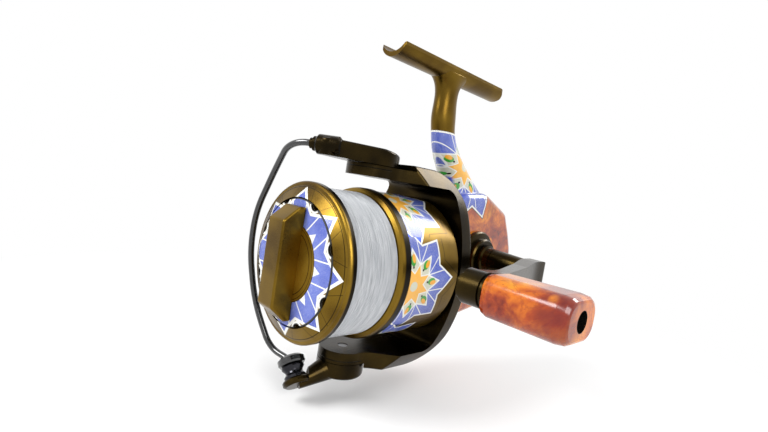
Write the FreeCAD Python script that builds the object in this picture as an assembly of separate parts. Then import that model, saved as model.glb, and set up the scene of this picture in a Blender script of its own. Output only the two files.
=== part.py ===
import FreeCAD, Part
import math
import os

from FreeCAD import Vector, Rotation, Placement

# A spinning reel for a fishing rod. Lengths are in millimetres.
# Pieces are drawn about the spool axis: Y runs along it with the front towards -Y,
# the rod foot is above (+Z), and the handle is on the +X side.
# Each finished piece is then moved so that the origin lies on the rod's axis,
# above the middle of the foot.

# Foot, stem and rod seat
FOOT_WIDTH = 12.4
FOOT_LENGTH = 70.0
FOOT_FRONT_Y = 28.2
FOOT_EDGE_Z = 84.0
FOOT_EDGE_THICKNESS = 1.2
FOOT_MIDDLE_THICKNESS = 1.9
FOOT_REAR_CORNER_R = 3.5
ROD_R = 7.45

# Spool
LIP_R = 28.0
LIP_DEPTH = 3.0
RING_R = 28.5
RING_FRONT_Y = 22.2
RING_REAR_Y = 27.1
SKIRT_R = 27.9
SKIRT_WALL = 1.4
SKIRT_REAR_Y = 54.6
ARBOR_R = 17.5
ARBOR_WALL = 1.6
LINE_CORE_R = 26.1
LINE_D = 0.46
LINE_PITCH = 0.90
LINE_TURNS = 18
DRAG_CHAMBER_R = 13.0
DRAG_FLOOR_Y = 14.0

# Drag knob
KNOB_DISC_R = 21.9
KNOB_FACE_Y = -3.0
KNOB_BACK_Y = 0.9
BAR_WIDTH = 9.2
BAR_TOP_Y = -10.8
BAR_SHOULDER_Y = -5.2
BAR_TOP_HALF = 14.5
BAR_BASE_HALF = 19.3
NOTCH_COUNT = 8
NOTCH_R = 2.2
CENTRE_PLATE_R = 13.4

# Main shaft and its slider
SHAFT_R = 1.7
SHAFT_FRONT_Y = -5.0
SHAFT_REAR_Y = 99.5
RUNNING_GAP = 0.06
SLIDER_FRONT_Y = 90.5
SLIDER_ROD_X = 7.6
SLIDER_ROD_Z = -1.4
SLIDER_ROD_R = 1.1
SLIDER_ROD_Y = (69.0, 115.8)
PAWL_R = 1.6

# The knob's bore clears the shaft
KNOB_BORE_R = SHAFT_R + 0.6

# Rotor
PLATE_FRONT_Y = 57.0
PLATE_BACK_Y = 63.5
PLATE_HALF_WIDTH = 27.0
PLATE_SIDE_R = 64.0
ARM_INNER_Z = 33.0
ARM_OUTER_Z = 39.6
ARM_CORNER_R = 16.0
ARM_ROUND_R = 42.0
ARM_INNER_CORNER_R = 4.0
ARM_EDGE_R = 1.2
HUB_R = 22.0
HUB_BORE_R = 19.8
HUB_FRONT_Y = 33.0
HUB_WALL_REAR_Y = 36.0
NUT_THICKNESS = 3.2

# Bail
PIVOT_Y = 26.5
PIVOT_BOSS_R = 9.2
PIVOT_SEAT_Z = 37.4
BAIL_SWING = 95.0
BAIL_INNER_Z = 37.6
BAIL_OUTER_Z = 43.6
PIVOT_PIN_R = 2.0
PIVOT_HEAD_R = 4.2
UPPER_BOSS_R = 10.4
WIRE_D = 2.4
SOCKET_R = 3.5
SOCKET_LENGTH = 9.0
SOCKET_MOUTH = Vector(-2.5, 2.3, 41.0)
SOCKET_AXIS = Vector(-0.85, -0.53, 0.0).normalize()
COLLAR_R = 1.9
COLLAR_DEPTH = 5.0
# The wire's corners after the socket, on its way round the spool to the roller
WIRE_CORNERS = [(-11.0, -3.0, 41.0), (-22.5, 0.0, 31.2), (-30.5, -1.4, 12.8), (-32.0, -0.6, -3.0),
                (-28.5, 2.3, -22.3), (-19.0, 6.2, -38.4)]

# Line roller; its axis leans out of the lower arm, from the wire's end to the arm's end
ROLLER_CENTRE = Vector(-4.6, 8.9, -42.8)
ROLLER_AXIS = Vector(0.70, -0.04, -0.713).normalize()
ROLLER_R = 4.2
ROLLER_HALF = 2.4
ROLLER_DISC_R = 5.1
ROLLER_PIN_R = 1.3
ROLLER_BUSH_R = 2.1
WIRE_DISC_END = 5.7
ARM_DISC_END = 5.0

# Gears: the handle's face gear drives the pinion, and the pinion drives the worm
PINION_TEETH = 7
FACE_TEETH = 33
WORM_GEAR_TEETH = 17
PINION_PITCH_R = 3.3
PINION_TIP_R = 4.0
PINION_ROOT_R = 2.5
PINION_BORE_R = SHAFT_R + RUNNING_GAP
PINION_SLEEVE_R = 4.0
PINION_TOOTH_Y = (65.8, 73.2)
DRIVE_Y = 86.0
DRIVE_Z = 5.4
DRIVE_R = 2.6
WORM_X = 1.5
WORM_R = 2.5
# The worm lies where its gear just meshes with the pinion
WORM_Z = -math.sqrt((PINION_PITCH_R * (1 + WORM_GEAR_TEETH / PINION_TEETH)) ** 2 - WORM_X ** 2)
WORM_REAR_Y = 101.5
WORM_JOURNAL_R = 1.5
WORM_JOURNAL_FRONT_Y = 64.9
WORM_BUSH_Y = (102.0, 105.2)
WORM_BUSH_R = 3.4

# Bearings and the one-way clutch
BEARING_R = 6.0
BEARING_BORE = DRIVE_R + RUNNING_GAP
BEARING_LENGTH = 3.4
LEFT_BEARING_X = -12.4
RIGHT_BEARING_X = 9.6
PINION_BEARING_Y = (60.6, 65.0)
PINION_BEARING_R = 9.0
CLUTCH_Y = (44.0, 53.0)
CLUTCH_R = 13.0
CLUTCH_BORE = 6.6

# Body
BODY_HALF_WIDTH = 13.0
BODY_WALL = 2.0
BODY_FRONT_Y = 64.3
COVER_SPLIT_X = 4.0
COVER_SCREW_HEAD_R = 1.9
COVER_SCREW_R = 1.0
COVER_TOP_Z = 25.0
NOSE_R = 17.5
NOSE_FRONT_Y = 41.0
BODY_OUTLINE = [(BODY_FRONT_Y, -24.0), (BODY_FRONT_Y, 24.0), (74.0, 33.0), (89.5, 34.5), (108.3, 26.8),
                (114.0, 17.5), (119.8, 6.0), (114.5, -9.0), (101.0, -18.6), (74.0, -23.6)]
BODY_ROUNDING = [4.0, 4.0, 6.0, 14.0, 5.0, 9.0, 14.0, 12.0, 6.0, 20.0]
# The cover takes all of the body's +X side below its upper edge
COVER_OUTLINE = [(60.0, -30.0), (60.0, COVER_TOP_Z), (125.0, COVER_TOP_Z), (125.0, -30.0)]
SCREW_PLACES = [(77.0, -19.2), (70.4, 22.5), (107.4, 20.5), (109.6, -4.5)]

# Handle
HUB_INNER_X = 38.6
HUB_OUTER_X = 45.0
GRIP_Y = 23.7
GRIP_Z = DRIVE_Z
POST_BOSS_X = 53.5
POST_BOSS_END_X = 61.0
POST_BOSS_R = 5.4
GRIP_X = 61.8
GRIP_END_X = 87.3
GRIP_HOLE_R = 2.9
GRIP_HOLE_DEPTH = 4.5
GRIP_BORE_R = 3.2
GRIP_POST_R = 2.2

# The row's origin in the drawing frame
ROD_AXIS_Z = FOOT_EDGE_Z + math.sqrt(ROD_R ** 2 - (FOOT_WIDTH / 2) ** 2)
ORIGIN = Vector(0, FOOT_FRONT_Y + FOOT_LENGTH / 2, ROD_AXIS_Z)

X = Vector(1, 0, 0)
Y = Vector(0, 1, 0)
Z = Vector(0, 0, 1)


def cyl_x(r, x0, x1, y=0.0, z=0.0):
    return Part.makeCylinder(r, x1 - x0, Vector(x0, y, z), X)


def cyl_y(r, y0, y1, x=0.0, z=0.0):
    return Part.makeCylinder(r, y1 - y0, Vector(x, y0, z), Y)


def cyl_z(r, z0, z1, x=0.0, y=0.0):
    return Part.makeCylinder(r, z1 - z0, Vector(x, y, z0), Z)


def tube_x(r, bore, x0, x1, y=0.0, z=0.0):
    return cyl_x(r, x0, x1, y, z).cut(cyl_x(bore, x0, x1, y, z))


def tube_y(r, bore, y0, y1, x=0.0, z=0.0):
    return cyl_y(r, y0, y1, x, z).cut(cyl_y(bore, y0, y1, x, z))


def tube_z(r, bore, z0, z1, x=0.0, y=0.0):
    return cyl_z(r, z0, z1, x, y).cut(cyl_z(bore, z0, z1, x, y))


def box(x0, x1, y0, y1, z0, z1):
    return Part.makeBox(x1 - x0, y1 - y0, z1 - z0, Vector(x0, y0, z0))


def turned(profile):
    """A solid turned about the Y axis from (radius, y) corners."""
    wire = Part.makePolygon([Vector(r, y, 0) for r, y in profile + profile[:1]])
    return Part.Face(wire).revolve(Vector(0, 0, 0), Y, 360)


def turned_x(profile, y, z):
    """A solid turned about a line along X through (y, z), from (radius, x) corners."""
    wire = Part.makePolygon([Vector(x, y + r, z) for r, x in profile + profile[:1]])
    return Part.Face(wire).revolve(Vector(0, y, z), X, 360)


def rounded_wire(points, radii):
    """A closed wire through corners, each rounded by its own radius."""
    edges = []
    starts = []
    count = len(points)
    for i in range(count):
        before, here, after = points[i - 1], points[i], points[(i + 1) % count]
        to_before = (before - here).normalize()
        to_after = (after - here).normalize()
        half = to_before.getAngle(to_after) / 2
        if radii[i] <= 0:
            starts.append((here, here, None))
            continue
        reach = radii[i] / math.tan(half)
        middle = (to_before + to_after).normalize() * (radii[i] / math.sin(half) - radii[i])
        starts.append((here + to_before * reach, here + to_after * reach, here + middle))
    for i in range(count):
        enter, leave, middle = starts[i]
        if middle is not None:
            edges.append(Part.Arc(enter, middle, leave).toShape())
        following = starts[(i + 1) % count][0]
        if leave.distanceToPoint(following) > 1e-6:
            edges.append(Part.makeLine(leave, following))
    return Part.Wire(edges)


def prism_x(points, radii, x0, x1):
    """A plate along X from (y, z) corners with rounding radii."""
    wire = rounded_wire([Vector(x0, y, z) for y, z in points], radii)
    return Part.Face(wire).extrude(Vector(x1 - x0, 0, 0))


def prism_y(points, radii, y0, y1):
    wire = rounded_wire([Vector(x, y0, z) for x, z in points], radii)
    return Part.Face(wire).extrude(Vector(0, y1 - y0, 0))


def prism_z(points, radii, z0, z1):
    wire = rounded_wire([Vector(x, y, z0) for x, y in points], radii)
    return Part.Face(wire).extrude(Vector(0, 0, z1 - z0))


def mirrored(points):
    """Adds the mirror image, across the first coordinate, of an outline's half."""
    return points + [(-a, b) for a, b in reversed(points)]


def ellipse_level(y, z, half_x, half_y):
    """An elliptic ring in a level plane, for the stem's loft."""
    centre = Vector(0, y, z)
    if half_x >= half_y:
        curve = Part.Ellipse(centre + X * half_x, centre + Y * half_y, centre)
    else:
        curve = Part.Ellipse(centre + Y * half_y, centre - X * half_x, centre)
    return Part.Wire(curve.toShape())


def box_ring(x, half_y, half_z, corner):
    """A rounded rectangle in a plane across X, for the grip's loft."""
    points = [(half_y, half_z), (-half_y, half_z), (-half_y, -half_z), (half_y, -half_z)]
    return rounded_wire([Vector(x, GRIP_Y + y, GRIP_Z + z) for y, z in points], [corner] * 4)


def fillet_edges(shape, radius, test):
    edges = [edge for edge in shape.Edges if test(edge)]
    return shape.makeFillet(radius, edges)


def rounded_route(points):
    """Straight runs joined by tangent arcs as large as the runs allow."""
    edges = []
    last = points[0]
    for i in range(1, len(points) - 1):
        back = points[i - 1] - points[i]
        ahead = points[i + 1] - points[i]
        half_turn = (math.pi - back.getAngle(ahead)) / 2
        reach = 0.45 * min(back.Length, ahead.Length)
        radius = reach / math.tan(half_turn)
        back.normalize()
        ahead.normalize()
        enter = points[i] + back * reach
        leave = points[i] + ahead * reach
        rise = radius / math.cos(half_turn) - radius
        middle = points[i] + (back + ahead).normalize() * rise
        edges.append(Part.makeLine(last, enter))
        edges.append(Part.Arc(enter, middle, leave).toShape())
        last = leave
    edges.append(Part.makeLine(last, points[-1]))
    return Part.Wire(edges)


def swept_rod(route, radius):
    """A round rod along a route of edges."""
    first = route.OrderedEdges[0]
    start = first.valueAt(first.FirstParameter)
    direction = first.tangentAt(first.FirstParameter)
    ring = Part.Wire(Part.makeCircle(radius, start, direction))
    return route.makePipeShell([ring], True, False)


def biarc(start, start_dir, end, end_dir):
    """Two arcs that leave start and reach end along the given directions."""
    span = end - start
    both = start_dir + end_dir
    a = 4 - both.dot(both)
    b = span.dot(both)
    reach = (-b + math.sqrt(b * b + a * span.dot(span))) / a
    first_corner = start + start_dir * reach
    second_corner = end - end_dir * reach
    joint = (first_corner + second_corner) * 0.5
    return [arc_by_corner(start, first_corner, joint), arc_by_corner(joint, second_corner, end)]


def arc_by_corner(start, corner, end):
    chord_middle = (start + end) * 0.5
    half_chord = start.distanceToPoint(end) / 2
    angle = math.acos(min(1.0, half_chord / start.distanceToPoint(corner)))
    share = math.tan(angle / 2) / math.tan(angle)
    middle = chord_middle + (corner - chord_middle) * share
    return Part.Arc(start, middle, end).toShape()


def coil_route(centre, axis, across, radius, pitch, turns):
    """Half-turn biarcs along a helix; across is the direction of its start."""
    other = axis.cross(across)
    climb = pitch / (2 * math.pi)

    def point(angle):
        around = across * (radius * math.cos(angle)) + other * (radius * math.sin(angle))
        return centre + around + axis * (climb * angle)

    def heading(angle):
        around = across * (-radius * math.sin(angle)) + other * (radius * math.cos(angle))
        return (around + axis * climb).normalize()

    edges = []
    for half in range(int(round(turns * 2))):
        a0 = half * math.pi
        a1 = a0 + math.pi
        edges += biarc(point(a0), heading(a0), point(a1), heading(a1))
    return edges, point, heading


def gap_along(route, diameter, skip):
    """The least clear gap of a wound rod to itself, from points of its middle line.

    Points closer than skip along the rod belong to one turn and aren't compared.
    """
    points = []
    length = 0.0
    for edge in route.OrderedEdges:
        steps = max(2, int(edge.Length / 2.0))
        for step in range(steps):
            share = edge.FirstParameter + (edge.LastParameter - edge.FirstParameter) * step / steps
            points.append((length + edge.Length * step / steps, edge.valueAt(share)))
        length += edge.Length
    least = 1e9
    for i in range(0, len(points), 3):
        for j in range(i + 1, len(points)):
            if points[j][0] - points[i][0] > skip:
                least = min(least, points[i][1].distanceToPoint(points[j][1]))
    return least - diameter


def trapezoid_tooth_y(root_r, tip_r, root_half, tip_half, y0, y1, angle):
    """A straight tooth along Y on a gear about the Y axis, pointing at an angle in XZ."""
    inner = root_r - 0.4
    outline = [(inner, root_half), (tip_r, tip_half), (tip_r, -tip_half), (inner, -root_half)]
    wire = Part.makePolygon([Vector(a, y0, b) for a, b in outline + outline[:1]])
    tooth = Part.Face(wire).extrude(Vector(0, y1 - y0, 0))
    tooth.rotate(Vector(0, 0, 0), Y, -angle)
    return tooth


def export(name, shape):
    """Moves a piece into the row's frame and writes it."""
    moved = shape.copy()
    moved.translate(ORIGIN * -1)
    solids = moved.Solids
    if len(solids) == 1:
        moved = solids[0]
    moved.exportStep("parts/" + name + ".step")
    state = "ok" if moved.isValid() else "INVALID"
    print(f"{name:24s} solids {len(solids):2d} volume {moved.Volume:10.1f} {state}")


# Body, foot and covers

def body_prism(inset, half_width):
    wire = rounded_wire([Vector(-half_width, y, z) for y, z in BODY_OUTLINE], BODY_ROUNDING)
    face = Part.Face(wire)
    if inset:
        face = face.makeOffset2D(-inset)
    return face.extrude(Vector(2 * half_width, 0, 0))


def foot():
    half = FOOT_WIDTH / 2
    low = FOOT_EDGE_Z - FOOT_EDGE_THICKNESS
    belly = ROD_AXIS_Z - ROD_R - FOOT_MIDDLE_THICKNESS
    under = Part.Arc(Vector(-half, FOOT_FRONT_Y, low), Vector(0, FOOT_FRONT_Y, belly),
                     Vector(half, FOOT_FRONT_Y, low)).toShape()
    corners = [Vector(half, FOOT_FRONT_Y, low), Vector(half, FOOT_FRONT_Y, FOOT_EDGE_Z),
               Vector(-half, FOOT_FRONT_Y, FOOT_EDGE_Z), Vector(-half, FOOT_FRONT_Y, low)]
    sides = [Part.makeLine(corners[i], corners[i + 1]) for i in range(3)]
    blank = Part.Face(Part.Wire([under] + sides)).extrude(Vector(0, FOOT_LENGTH, 0))
    rear = FOOT_FRONT_Y + FOOT_LENGTH
    plan = prism_z([(-half, FOOT_FRONT_Y), (-half, rear), (half, rear), (half, FOOT_FRONT_Y)],
                   [0.8, FOOT_REAR_CORNER_R, FOOT_REAR_CORNER_R, 0.8], belly - 5, FOOT_EDGE_Z + 1)
    return blank.common(plan)


def stem():
    """The stem below the foot sweeps back and widens into the leg."""
    levels = [(62.8, 81.5, 5.7, 15.0), (62.8, 79.6, 5.4, 9.5), (63.0, 76.5, 4.9, 6.4),
              (63.3, 71.0, 4.7, 5.3), (64.9, 58.0, 5.0, 5.7), (68.6, 50.5, 5.6, 6.8),
              (75.6, 42.5, 6.8, 8.2), (82.5, 35.0, 8.8, 11.0), (87.0, 28.0, 11.2, 15.0)]
    rings = [ellipse_level(y, z, half_x, half_y) for y, z, half_x, half_y in levels]
    return Part.makeLoft(rings, True, False)


def outer_body():
    prism = body_prism(0, BODY_HALF_WIDTH)
    soft = fillet_edges(prism, 3.6, lambda e: abs(abs(e.CenterOfMass.x) - BODY_HALF_WIDTH) < 1e-3)
    return soft.fuse(stem()).removeSplitter()


def body_cavity():
    return body_prism(BODY_WALL, BODY_HALF_WIDTH - BODY_WALL)


def cover_region():
    return prism_x(COVER_OUTLINE, [0] * 4, COVER_SPLIT_X, BODY_HALF_WIDTH + 5)


def rod_groove():
    return cyl_y(ROD_R, FOOT_FRONT_Y - 1, FOOT_FRONT_Y + FOOT_LENGTH + 1, 0, ROD_AXIS_Z)


def cover_screw_holes():
    """Holes through the housing from its free side and on into the cover."""
    holes = []
    for y, z in SCREW_PLACES:
        head = cyl_x(COVER_SCREW_HEAD_R, -BODY_HALF_WIDTH - 5, -BODY_HALF_WIDTH + 1.1, y, z)
        shank = cyl_x(COVER_SCREW_R, -BODY_HALF_WIDTH, BODY_HALF_WIDTH - 2.5, y, z)
        holes.append(head.fuse(shank))
    return Part.makeCompound(holes)


def screw_posts():
    """Round posts inside the body, around the cover's screws."""
    end = BODY_HALF_WIDTH - 1
    posts = [cyl_x(COVER_SCREW_R + 1.3, -end, end, y, z) for y, z in SCREW_PLACES]
    return posts[0].fuse(posts[1:])


def worm_block(outer):
    """The block on the rear wall that carries the worm's bush."""
    half = WORM_BUSH_R + 1.4
    block = box(WORM_X - half, WORM_X + half, WORM_BUSH_Y[0] + 0.4, 120.0, WORM_Z - half, WORM_Z + half)
    return block.common(outer)


def slider_rod():
    """The rod that keeps the slider from turning, held at both ends in the cover."""
    return cyl_y(SLIDER_ROD_R, SLIDER_ROD_Y[0], SLIDER_ROD_Y[1], SLIDER_ROD_X, SLIDER_ROD_Z)


def body_housing(outer, cavity):
    shell = outer.cut(cavity).fuse(screw_posts().common(outer)).cut(cover_region())
    nose = cyl_y(NOSE_R, NOSE_FRONT_Y, BODY_FRONT_Y + BODY_WALL)
    shell = shell.fuse(nose)
    shell = shell.cut(cyl_y(CLUTCH_R, NOSE_FRONT_Y - 1, CLUTCH_Y[1]))
    shell = shell.cut(cyl_y(PINION_BEARING_R - 1.5, CLUTCH_Y[1] - 1, PINION_BEARING_Y[0] + 1))
    shell = shell.cut(cyl_y(PINION_BEARING_R, PINION_BEARING_Y[0], BODY_FRONT_Y + 3))
    # Seats for the drive bearing and the worm
    boss = cyl_x(BEARING_R + 1.8, -BODY_HALF_WIDTH, LEFT_BEARING_X + BEARING_LENGTH, DRIVE_Y, DRIVE_Z)
    shell = shell.fuse(boss)
    shell = shell.cut(cyl_x(BEARING_R, LEFT_BEARING_X, 0, DRIVE_Y, DRIVE_Z))
    shell = shell.cut(cyl_x(BEARING_R - 1.2, -BODY_HALF_WIDTH - 1, 0, DRIVE_Y, DRIVE_Z))
    shell = shell.fuse(worm_block(outer))
    shell = shell.cut(cyl_y(WORM_BUSH_R, WORM_BUSH_Y[0] - 1, WORM_BUSH_Y[1], WORM_X, WORM_Z))
    shell = shell.cut(cyl_y(WORM_JOURNAL_R + RUNNING_GAP, WORM_JOURNAL_FRONT_Y, 68.0, WORM_X, WORM_Z))
    shell = shell.cut(slider_rod()).cut(cover_screw_holes())
    shell = shell.fuse(foot()).cut(rod_groove())
    return shell.removeSplitter()


def side_cover(outer, cavity):
    shell = outer.cut(cavity).fuse(screw_posts().common(outer)).common(cover_region())
    boss = cyl_x(BEARING_R + 2.0, RIGHT_BEARING_X, BODY_HALF_WIDTH, DRIVE_Y, DRIVE_Z)
    shell = shell.fuse(boss)
    shell = shell.cut(cyl_x(BEARING_R, 0, RIGHT_BEARING_X + BEARING_LENGTH, DRIVE_Y, DRIVE_Z))
    shell = shell.cut(cyl_x(BEARING_R - 1.2, 0, BODY_HALF_WIDTH + 5, DRIVE_Y, DRIVE_Z))
    rod_y = SLIDER_ROD_Y[0]
    shell = shell.fuse(box(SLIDER_ROD_X - 2.2, BODY_HALF_WIDTH - 1, rod_y - 0.5, rod_y + 3.0,
                           SLIDER_ROD_Z - 2.2, SLIDER_ROD_Z + 2.2))
    nose = cyl_y(NOSE_R, NOSE_FRONT_Y, BODY_FRONT_Y + BODY_WALL)
    shell = shell.cut(nose).cut(worm_block(outer)).cut(slider_rod()).cut(cover_screw_holes())
    return shell.removeSplitter()


def cover_screws():
    screws = []
    top = -BODY_HALF_WIDTH
    for y, z in SCREW_PLACES:
        head = cyl_x(COVER_SCREW_HEAD_R - 0.05, top + 0.1, top + 1.1, y, z)
        shank = cyl_x(COVER_SCREW_R - 0.05, top + 1.0, BODY_HALF_WIDTH - 2.6, y, z)
        slot = box(top - 1, top + 0.5, y - 0.3, y + 0.3, z - 1.5, z + 1.5)
        cross = box(top - 1, top + 0.5, y - 1.5, y + 1.5, z - 0.3, z + 0.3)
        screws.append(head.fuse(shank).cut(slot).cut(cross).removeSplitter())
    return Part.makeCompound(screws)


def bearing_x(x0):
    return tube_x(BEARING_R, BEARING_BORE, x0, x0 + BEARING_LENGTH, DRIVE_Y, DRIVE_Z)


def pinion_bearing():
    y0, y1 = PINION_BEARING_Y
    return tube_y(PINION_BEARING_R, PINION_SLEEVE_R + RUNNING_GAP, y0, y1)


def bearing_retainer():
    """The plate that holds the pinion's bearing in the nose from behind."""
    y0 = PINION_BEARING_Y[1]
    return tube_y(PINION_BEARING_R - 0.05, PINION_SLEEVE_R + 1.2, y0, y0 + 0.8)


def one_way_clutch():
    return tube_y(CLUTCH_R, CLUTCH_BORE + RUNNING_GAP, CLUTCH_Y[0], CLUTCH_Y[1])


def clutch_retainer():
    return tube_y(CLUTCH_R, CLUTCH_BORE + 0.8, CLUTCH_Y[0] - 1.5, CLUTCH_Y[0])


def worm_bush():
    return tube_y(WORM_BUSH_R, WORM_JOURNAL_R + RUNNING_GAP, WORM_BUSH_Y[0], WORM_BUSH_Y[1], WORM_X, WORM_Z)


def drive_bearing_cap():
    """The stepped bronze cap on the cover, around the handle's shaft."""
    bore = DRIVE_R + 1.0
    x0 = BODY_HALF_WIDTH
    profile = [(bore, x0), (11.6, x0), (11.6, x0 + 1.6), (11.0, x0 + 2.2), (8.7, x0 + 2.6),
               (8.7, x0 + 4.6), (8.1, x0 + 5.2), (bore, x0 + 5.2)]
    return turned_x(profile, DRIVE_Y, DRIVE_Z)


def handle_screw_cap():
    """The screw cap over the shaft's end, on the side without the handle."""
    x0 = -BODY_HALF_WIDTH
    profile = [(0, x0), (8.4, x0), (8.4, x0 - 1.6), (7.6, x0 - 2.6), (5.0, x0 - 3.2), (0, x0 - 3.2)]
    cap = turned_x(profile, DRIVE_Y, DRIVE_Z)
    slot = box(x0 - 4, x0 - 2.2, DRIVE_Y - 4.5, DRIVE_Y + 4.5, DRIVE_Z - 0.8, DRIVE_Z + 0.8)
    return cap.cut(slot)


# Rotor

def rotor_side_outline():
    """The U of the rotor in the YZ plane, as a prism along X."""
    nose = PIVOT_Y - PIVOT_BOSS_R - 1
    back = PLATE_BACK_Y
    outer = [(nose, ARM_OUTER_Z), (nose, ARM_INNER_Z), (PLATE_FRONT_Y, ARM_INNER_Z),
             (PLATE_FRONT_Y, -ARM_INNER_Z), (nose, -ARM_INNER_Z), (nose, -ARM_OUTER_Z),
             (back, -ARM_OUTER_Z), (back, ARM_OUTER_Z)]
    rounding = [0, 0, ARM_INNER_CORNER_R, ARM_INNER_CORNER_R, 0, 0, ARM_CORNER_R, ARM_CORNER_R]
    width = PLATE_HALF_WIDTH + 1
    return prism_x(outer, rounding, -width, width)


def rotor_front_outline():
    """The barrel outline of the plate in the XZ plane."""
    centre = PLATE_SIDE_R - PLATE_HALF_WIDTH
    top = ARM_OUTER_Z + 1
    reach = math.sqrt(PLATE_SIDE_R ** 2 - top ** 2) - centre
    y0 = PIVOT_Y - PIVOT_BOSS_R - 2
    corners = [Vector(reach, y0, top), Vector(-reach, y0, top),
               Vector(-reach, y0, -top), Vector(reach, y0, -top)]
    left = Part.Arc(corners[1], Vector(-PLATE_HALF_WIDTH, y0, 0), corners[2]).toShape()
    right = Part.Arc(corners[3], Vector(PLATE_HALF_WIDTH, y0, 0), corners[0]).toShape()
    top_edge = Part.makeLine(corners[0], corners[1])
    low_edge = Part.makeLine(corners[2], corners[3])
    wire = Part.Wire([top_edge, left, low_edge, right])
    return Part.Face(wire).extrude(Vector(0, PLATE_BACK_Y + 1 - y0, 0))


def rotor_plan_outline():
    """The arms' outline seen from above: broad at the plate, narrow at the pivots."""
    wide = PLATE_HALF_WIDTH + 1
    boss = PIVOT_BOSS_R
    half = [(wide, PLATE_BACK_Y + 1), (wide, 53.0), (boss, PIVOT_Y + 4.0), (boss, PIVOT_Y - boss)]
    rounding = [0, 0, 8.0, boss - 0.01]
    return prism_z(mirrored(half), rounding + rounding[::-1], -ARM_OUTER_Z - 1, ARM_OUTER_Z + 1)


def swing_room():
    """Room in the rotor for the bail's upper arm, where the arm ends its swing."""
    middle = upper_arm_end()
    at_rest = math.atan2(middle.y - PIVOT_Y, middle.x)
    heading = at_rest + math.radians(BAIL_SWING + 2.0)
    along = Vector(math.cos(heading), math.sin(heading), 0)
    side = Vector(-math.sin(heading), math.cos(heading), 0)
    pivot = Vector(0, PIVOT_Y, 0)
    far = pivot + along * 28
    corners = [pivot + side * (UPPER_BOSS_R + 0.5), far + side * (SOCKET_R + 1.4),
               far - side * 20, pivot - side * 20]
    return prism_z([(corner.x, corner.y) for corner in corners], [0] * 4, PIVOT_SEAT_Z, ARM_OUTER_Z + 2)


def rotor():
    shape = rotor_side_outline().common(rotor_front_outline()).common(rotor_plan_outline())
    shape = shape.common(cyl_y(ARM_ROUND_R, 0, PLATE_BACK_Y + 1))
    shape = fillet_edges(shape, ARM_EDGE_R, lambda e: abs(e.CenterOfMass.x) > 1
                              and abs(e.CenterOfMass.z) > ARM_INNER_Z + 1)
    hub = turned([(PINION_SLEEVE_R, HUB_FRONT_Y), (HUB_R - 2.0, HUB_FRONT_Y), (HUB_R, HUB_FRONT_Y + 2.0),
                  (HUB_R, PLATE_FRONT_Y + 1), (PINION_SLEEVE_R, PLATE_FRONT_Y + 1)])
    shape = shape.fuse(hub)
    shape = shape.cut(cyl_y(HUB_BORE_R, HUB_WALL_REAR_Y, PLATE_BACK_Y + 2))
    # Sunk round seats for the bail's arms, and screw holes on the pivot axis
    shape = shape.cut(swing_room())
    for side, seat_r in ((1, UPPER_BOSS_R + 0.5), (-1, PIVOT_BOSS_R + 1.0)):
        low, high = sorted((side * PIVOT_SEAT_Z, side * (ARM_OUTER_Z + 2)))
        shape = shape.cut(cyl_z(seat_r, low, high, 0, PIVOT_Y))
        low, high = sorted((side * (ARM_INNER_Z - 1), side * (PIVOT_SEAT_Z + 1)))
        shape = shape.cut(cyl_z(PIVOT_PIN_R, low, high, 0, PIVOT_Y))
        pocket_low, pocket_high = sorted((side * (ARM_INNER_Z + 1.2), side * (ARM_OUTER_Z - 1.6)))
        shape = shape.cut(box(-3.2, 3.2, 41.0, 53.5, pocket_low, pocket_high))
    return shape.removeSplitter()


def pivot_screws():
    """The two screws that the bail turns on, from the rotor's arms out through its own."""
    screws = []
    for side in (1, -1):
        shank_low, shank_high = sorted((side * (ARM_INNER_Z + 0.2), side * (BAIL_OUTER_Z - 1.0)))
        head_low, head_high = sorted((side * (BAIL_OUTER_Z - 2.0), side * (BAIL_OUTER_Z - 0.6)))
        shank = cyl_z(PIVOT_PIN_R, shank_low, shank_high, 0, PIVOT_Y)
        head = cyl_z(PIVOT_HEAD_R, head_low, head_high, 0, PIVOT_Y)
        slot_low, slot_high = sorted((side * (BAIL_OUTER_Z - 1.2), side * (BAIL_OUTER_Z + 1)))
        slot = box(-3.0, 3.0, PIVOT_Y - 0.5, PIVOT_Y + 0.5, slot_low, slot_high)
        screws.append(shank.fuse(head).cut(slot).removeSplitter())
    return Part.makeCompound(screws)


def rotor_nut():
    across = 6.4
    angles = [math.radians(60 * k) for k in range(6)]
    corners = [(across * math.cos(angle), across * math.sin(angle)) for angle in angles]
    nut = prism_y(corners, [0.6] * 6, HUB_FRONT_Y - NUT_THICKNESS, HUB_FRONT_Y)
    return nut.cut(cyl_y(PINION_SLEEVE_R, HUB_FRONT_Y - 4, HUB_FRONT_Y + 1))


def pinion_gear():
    y0, y1 = PINION_TOOTH_Y
    sleeve = cyl_y(PINION_SLEEVE_R, HUB_FRONT_Y - NUT_THICKNESS, y0 + 0.1)
    core = cyl_y(PINION_ROOT_R, y0, y1)
    shape = sleeve.fuse(core)
    for k in range(PINION_TEETH):
        angle = 180.0 + 360.0 * k / PINION_TEETH
        shape = shape.fuse(trapezoid_tooth_y(PINION_ROOT_R, PINION_TIP_R, 0.62, 0.30, y0, y1, angle))
    bore = cyl_y(PINION_BORE_R, HUB_FRONT_Y - 4, 75.0)
    return shape.cut(bore).removeSplitter()


def clutch_sleeve():
    """The hardened sleeve that the one-way clutch grips, on the pinion."""
    return tube_y(CLUTCH_BORE, PINION_SLEEVE_R, CLUTCH_Y[0] - 1.0, CLUTCH_Y[1] + 1.0)


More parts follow.
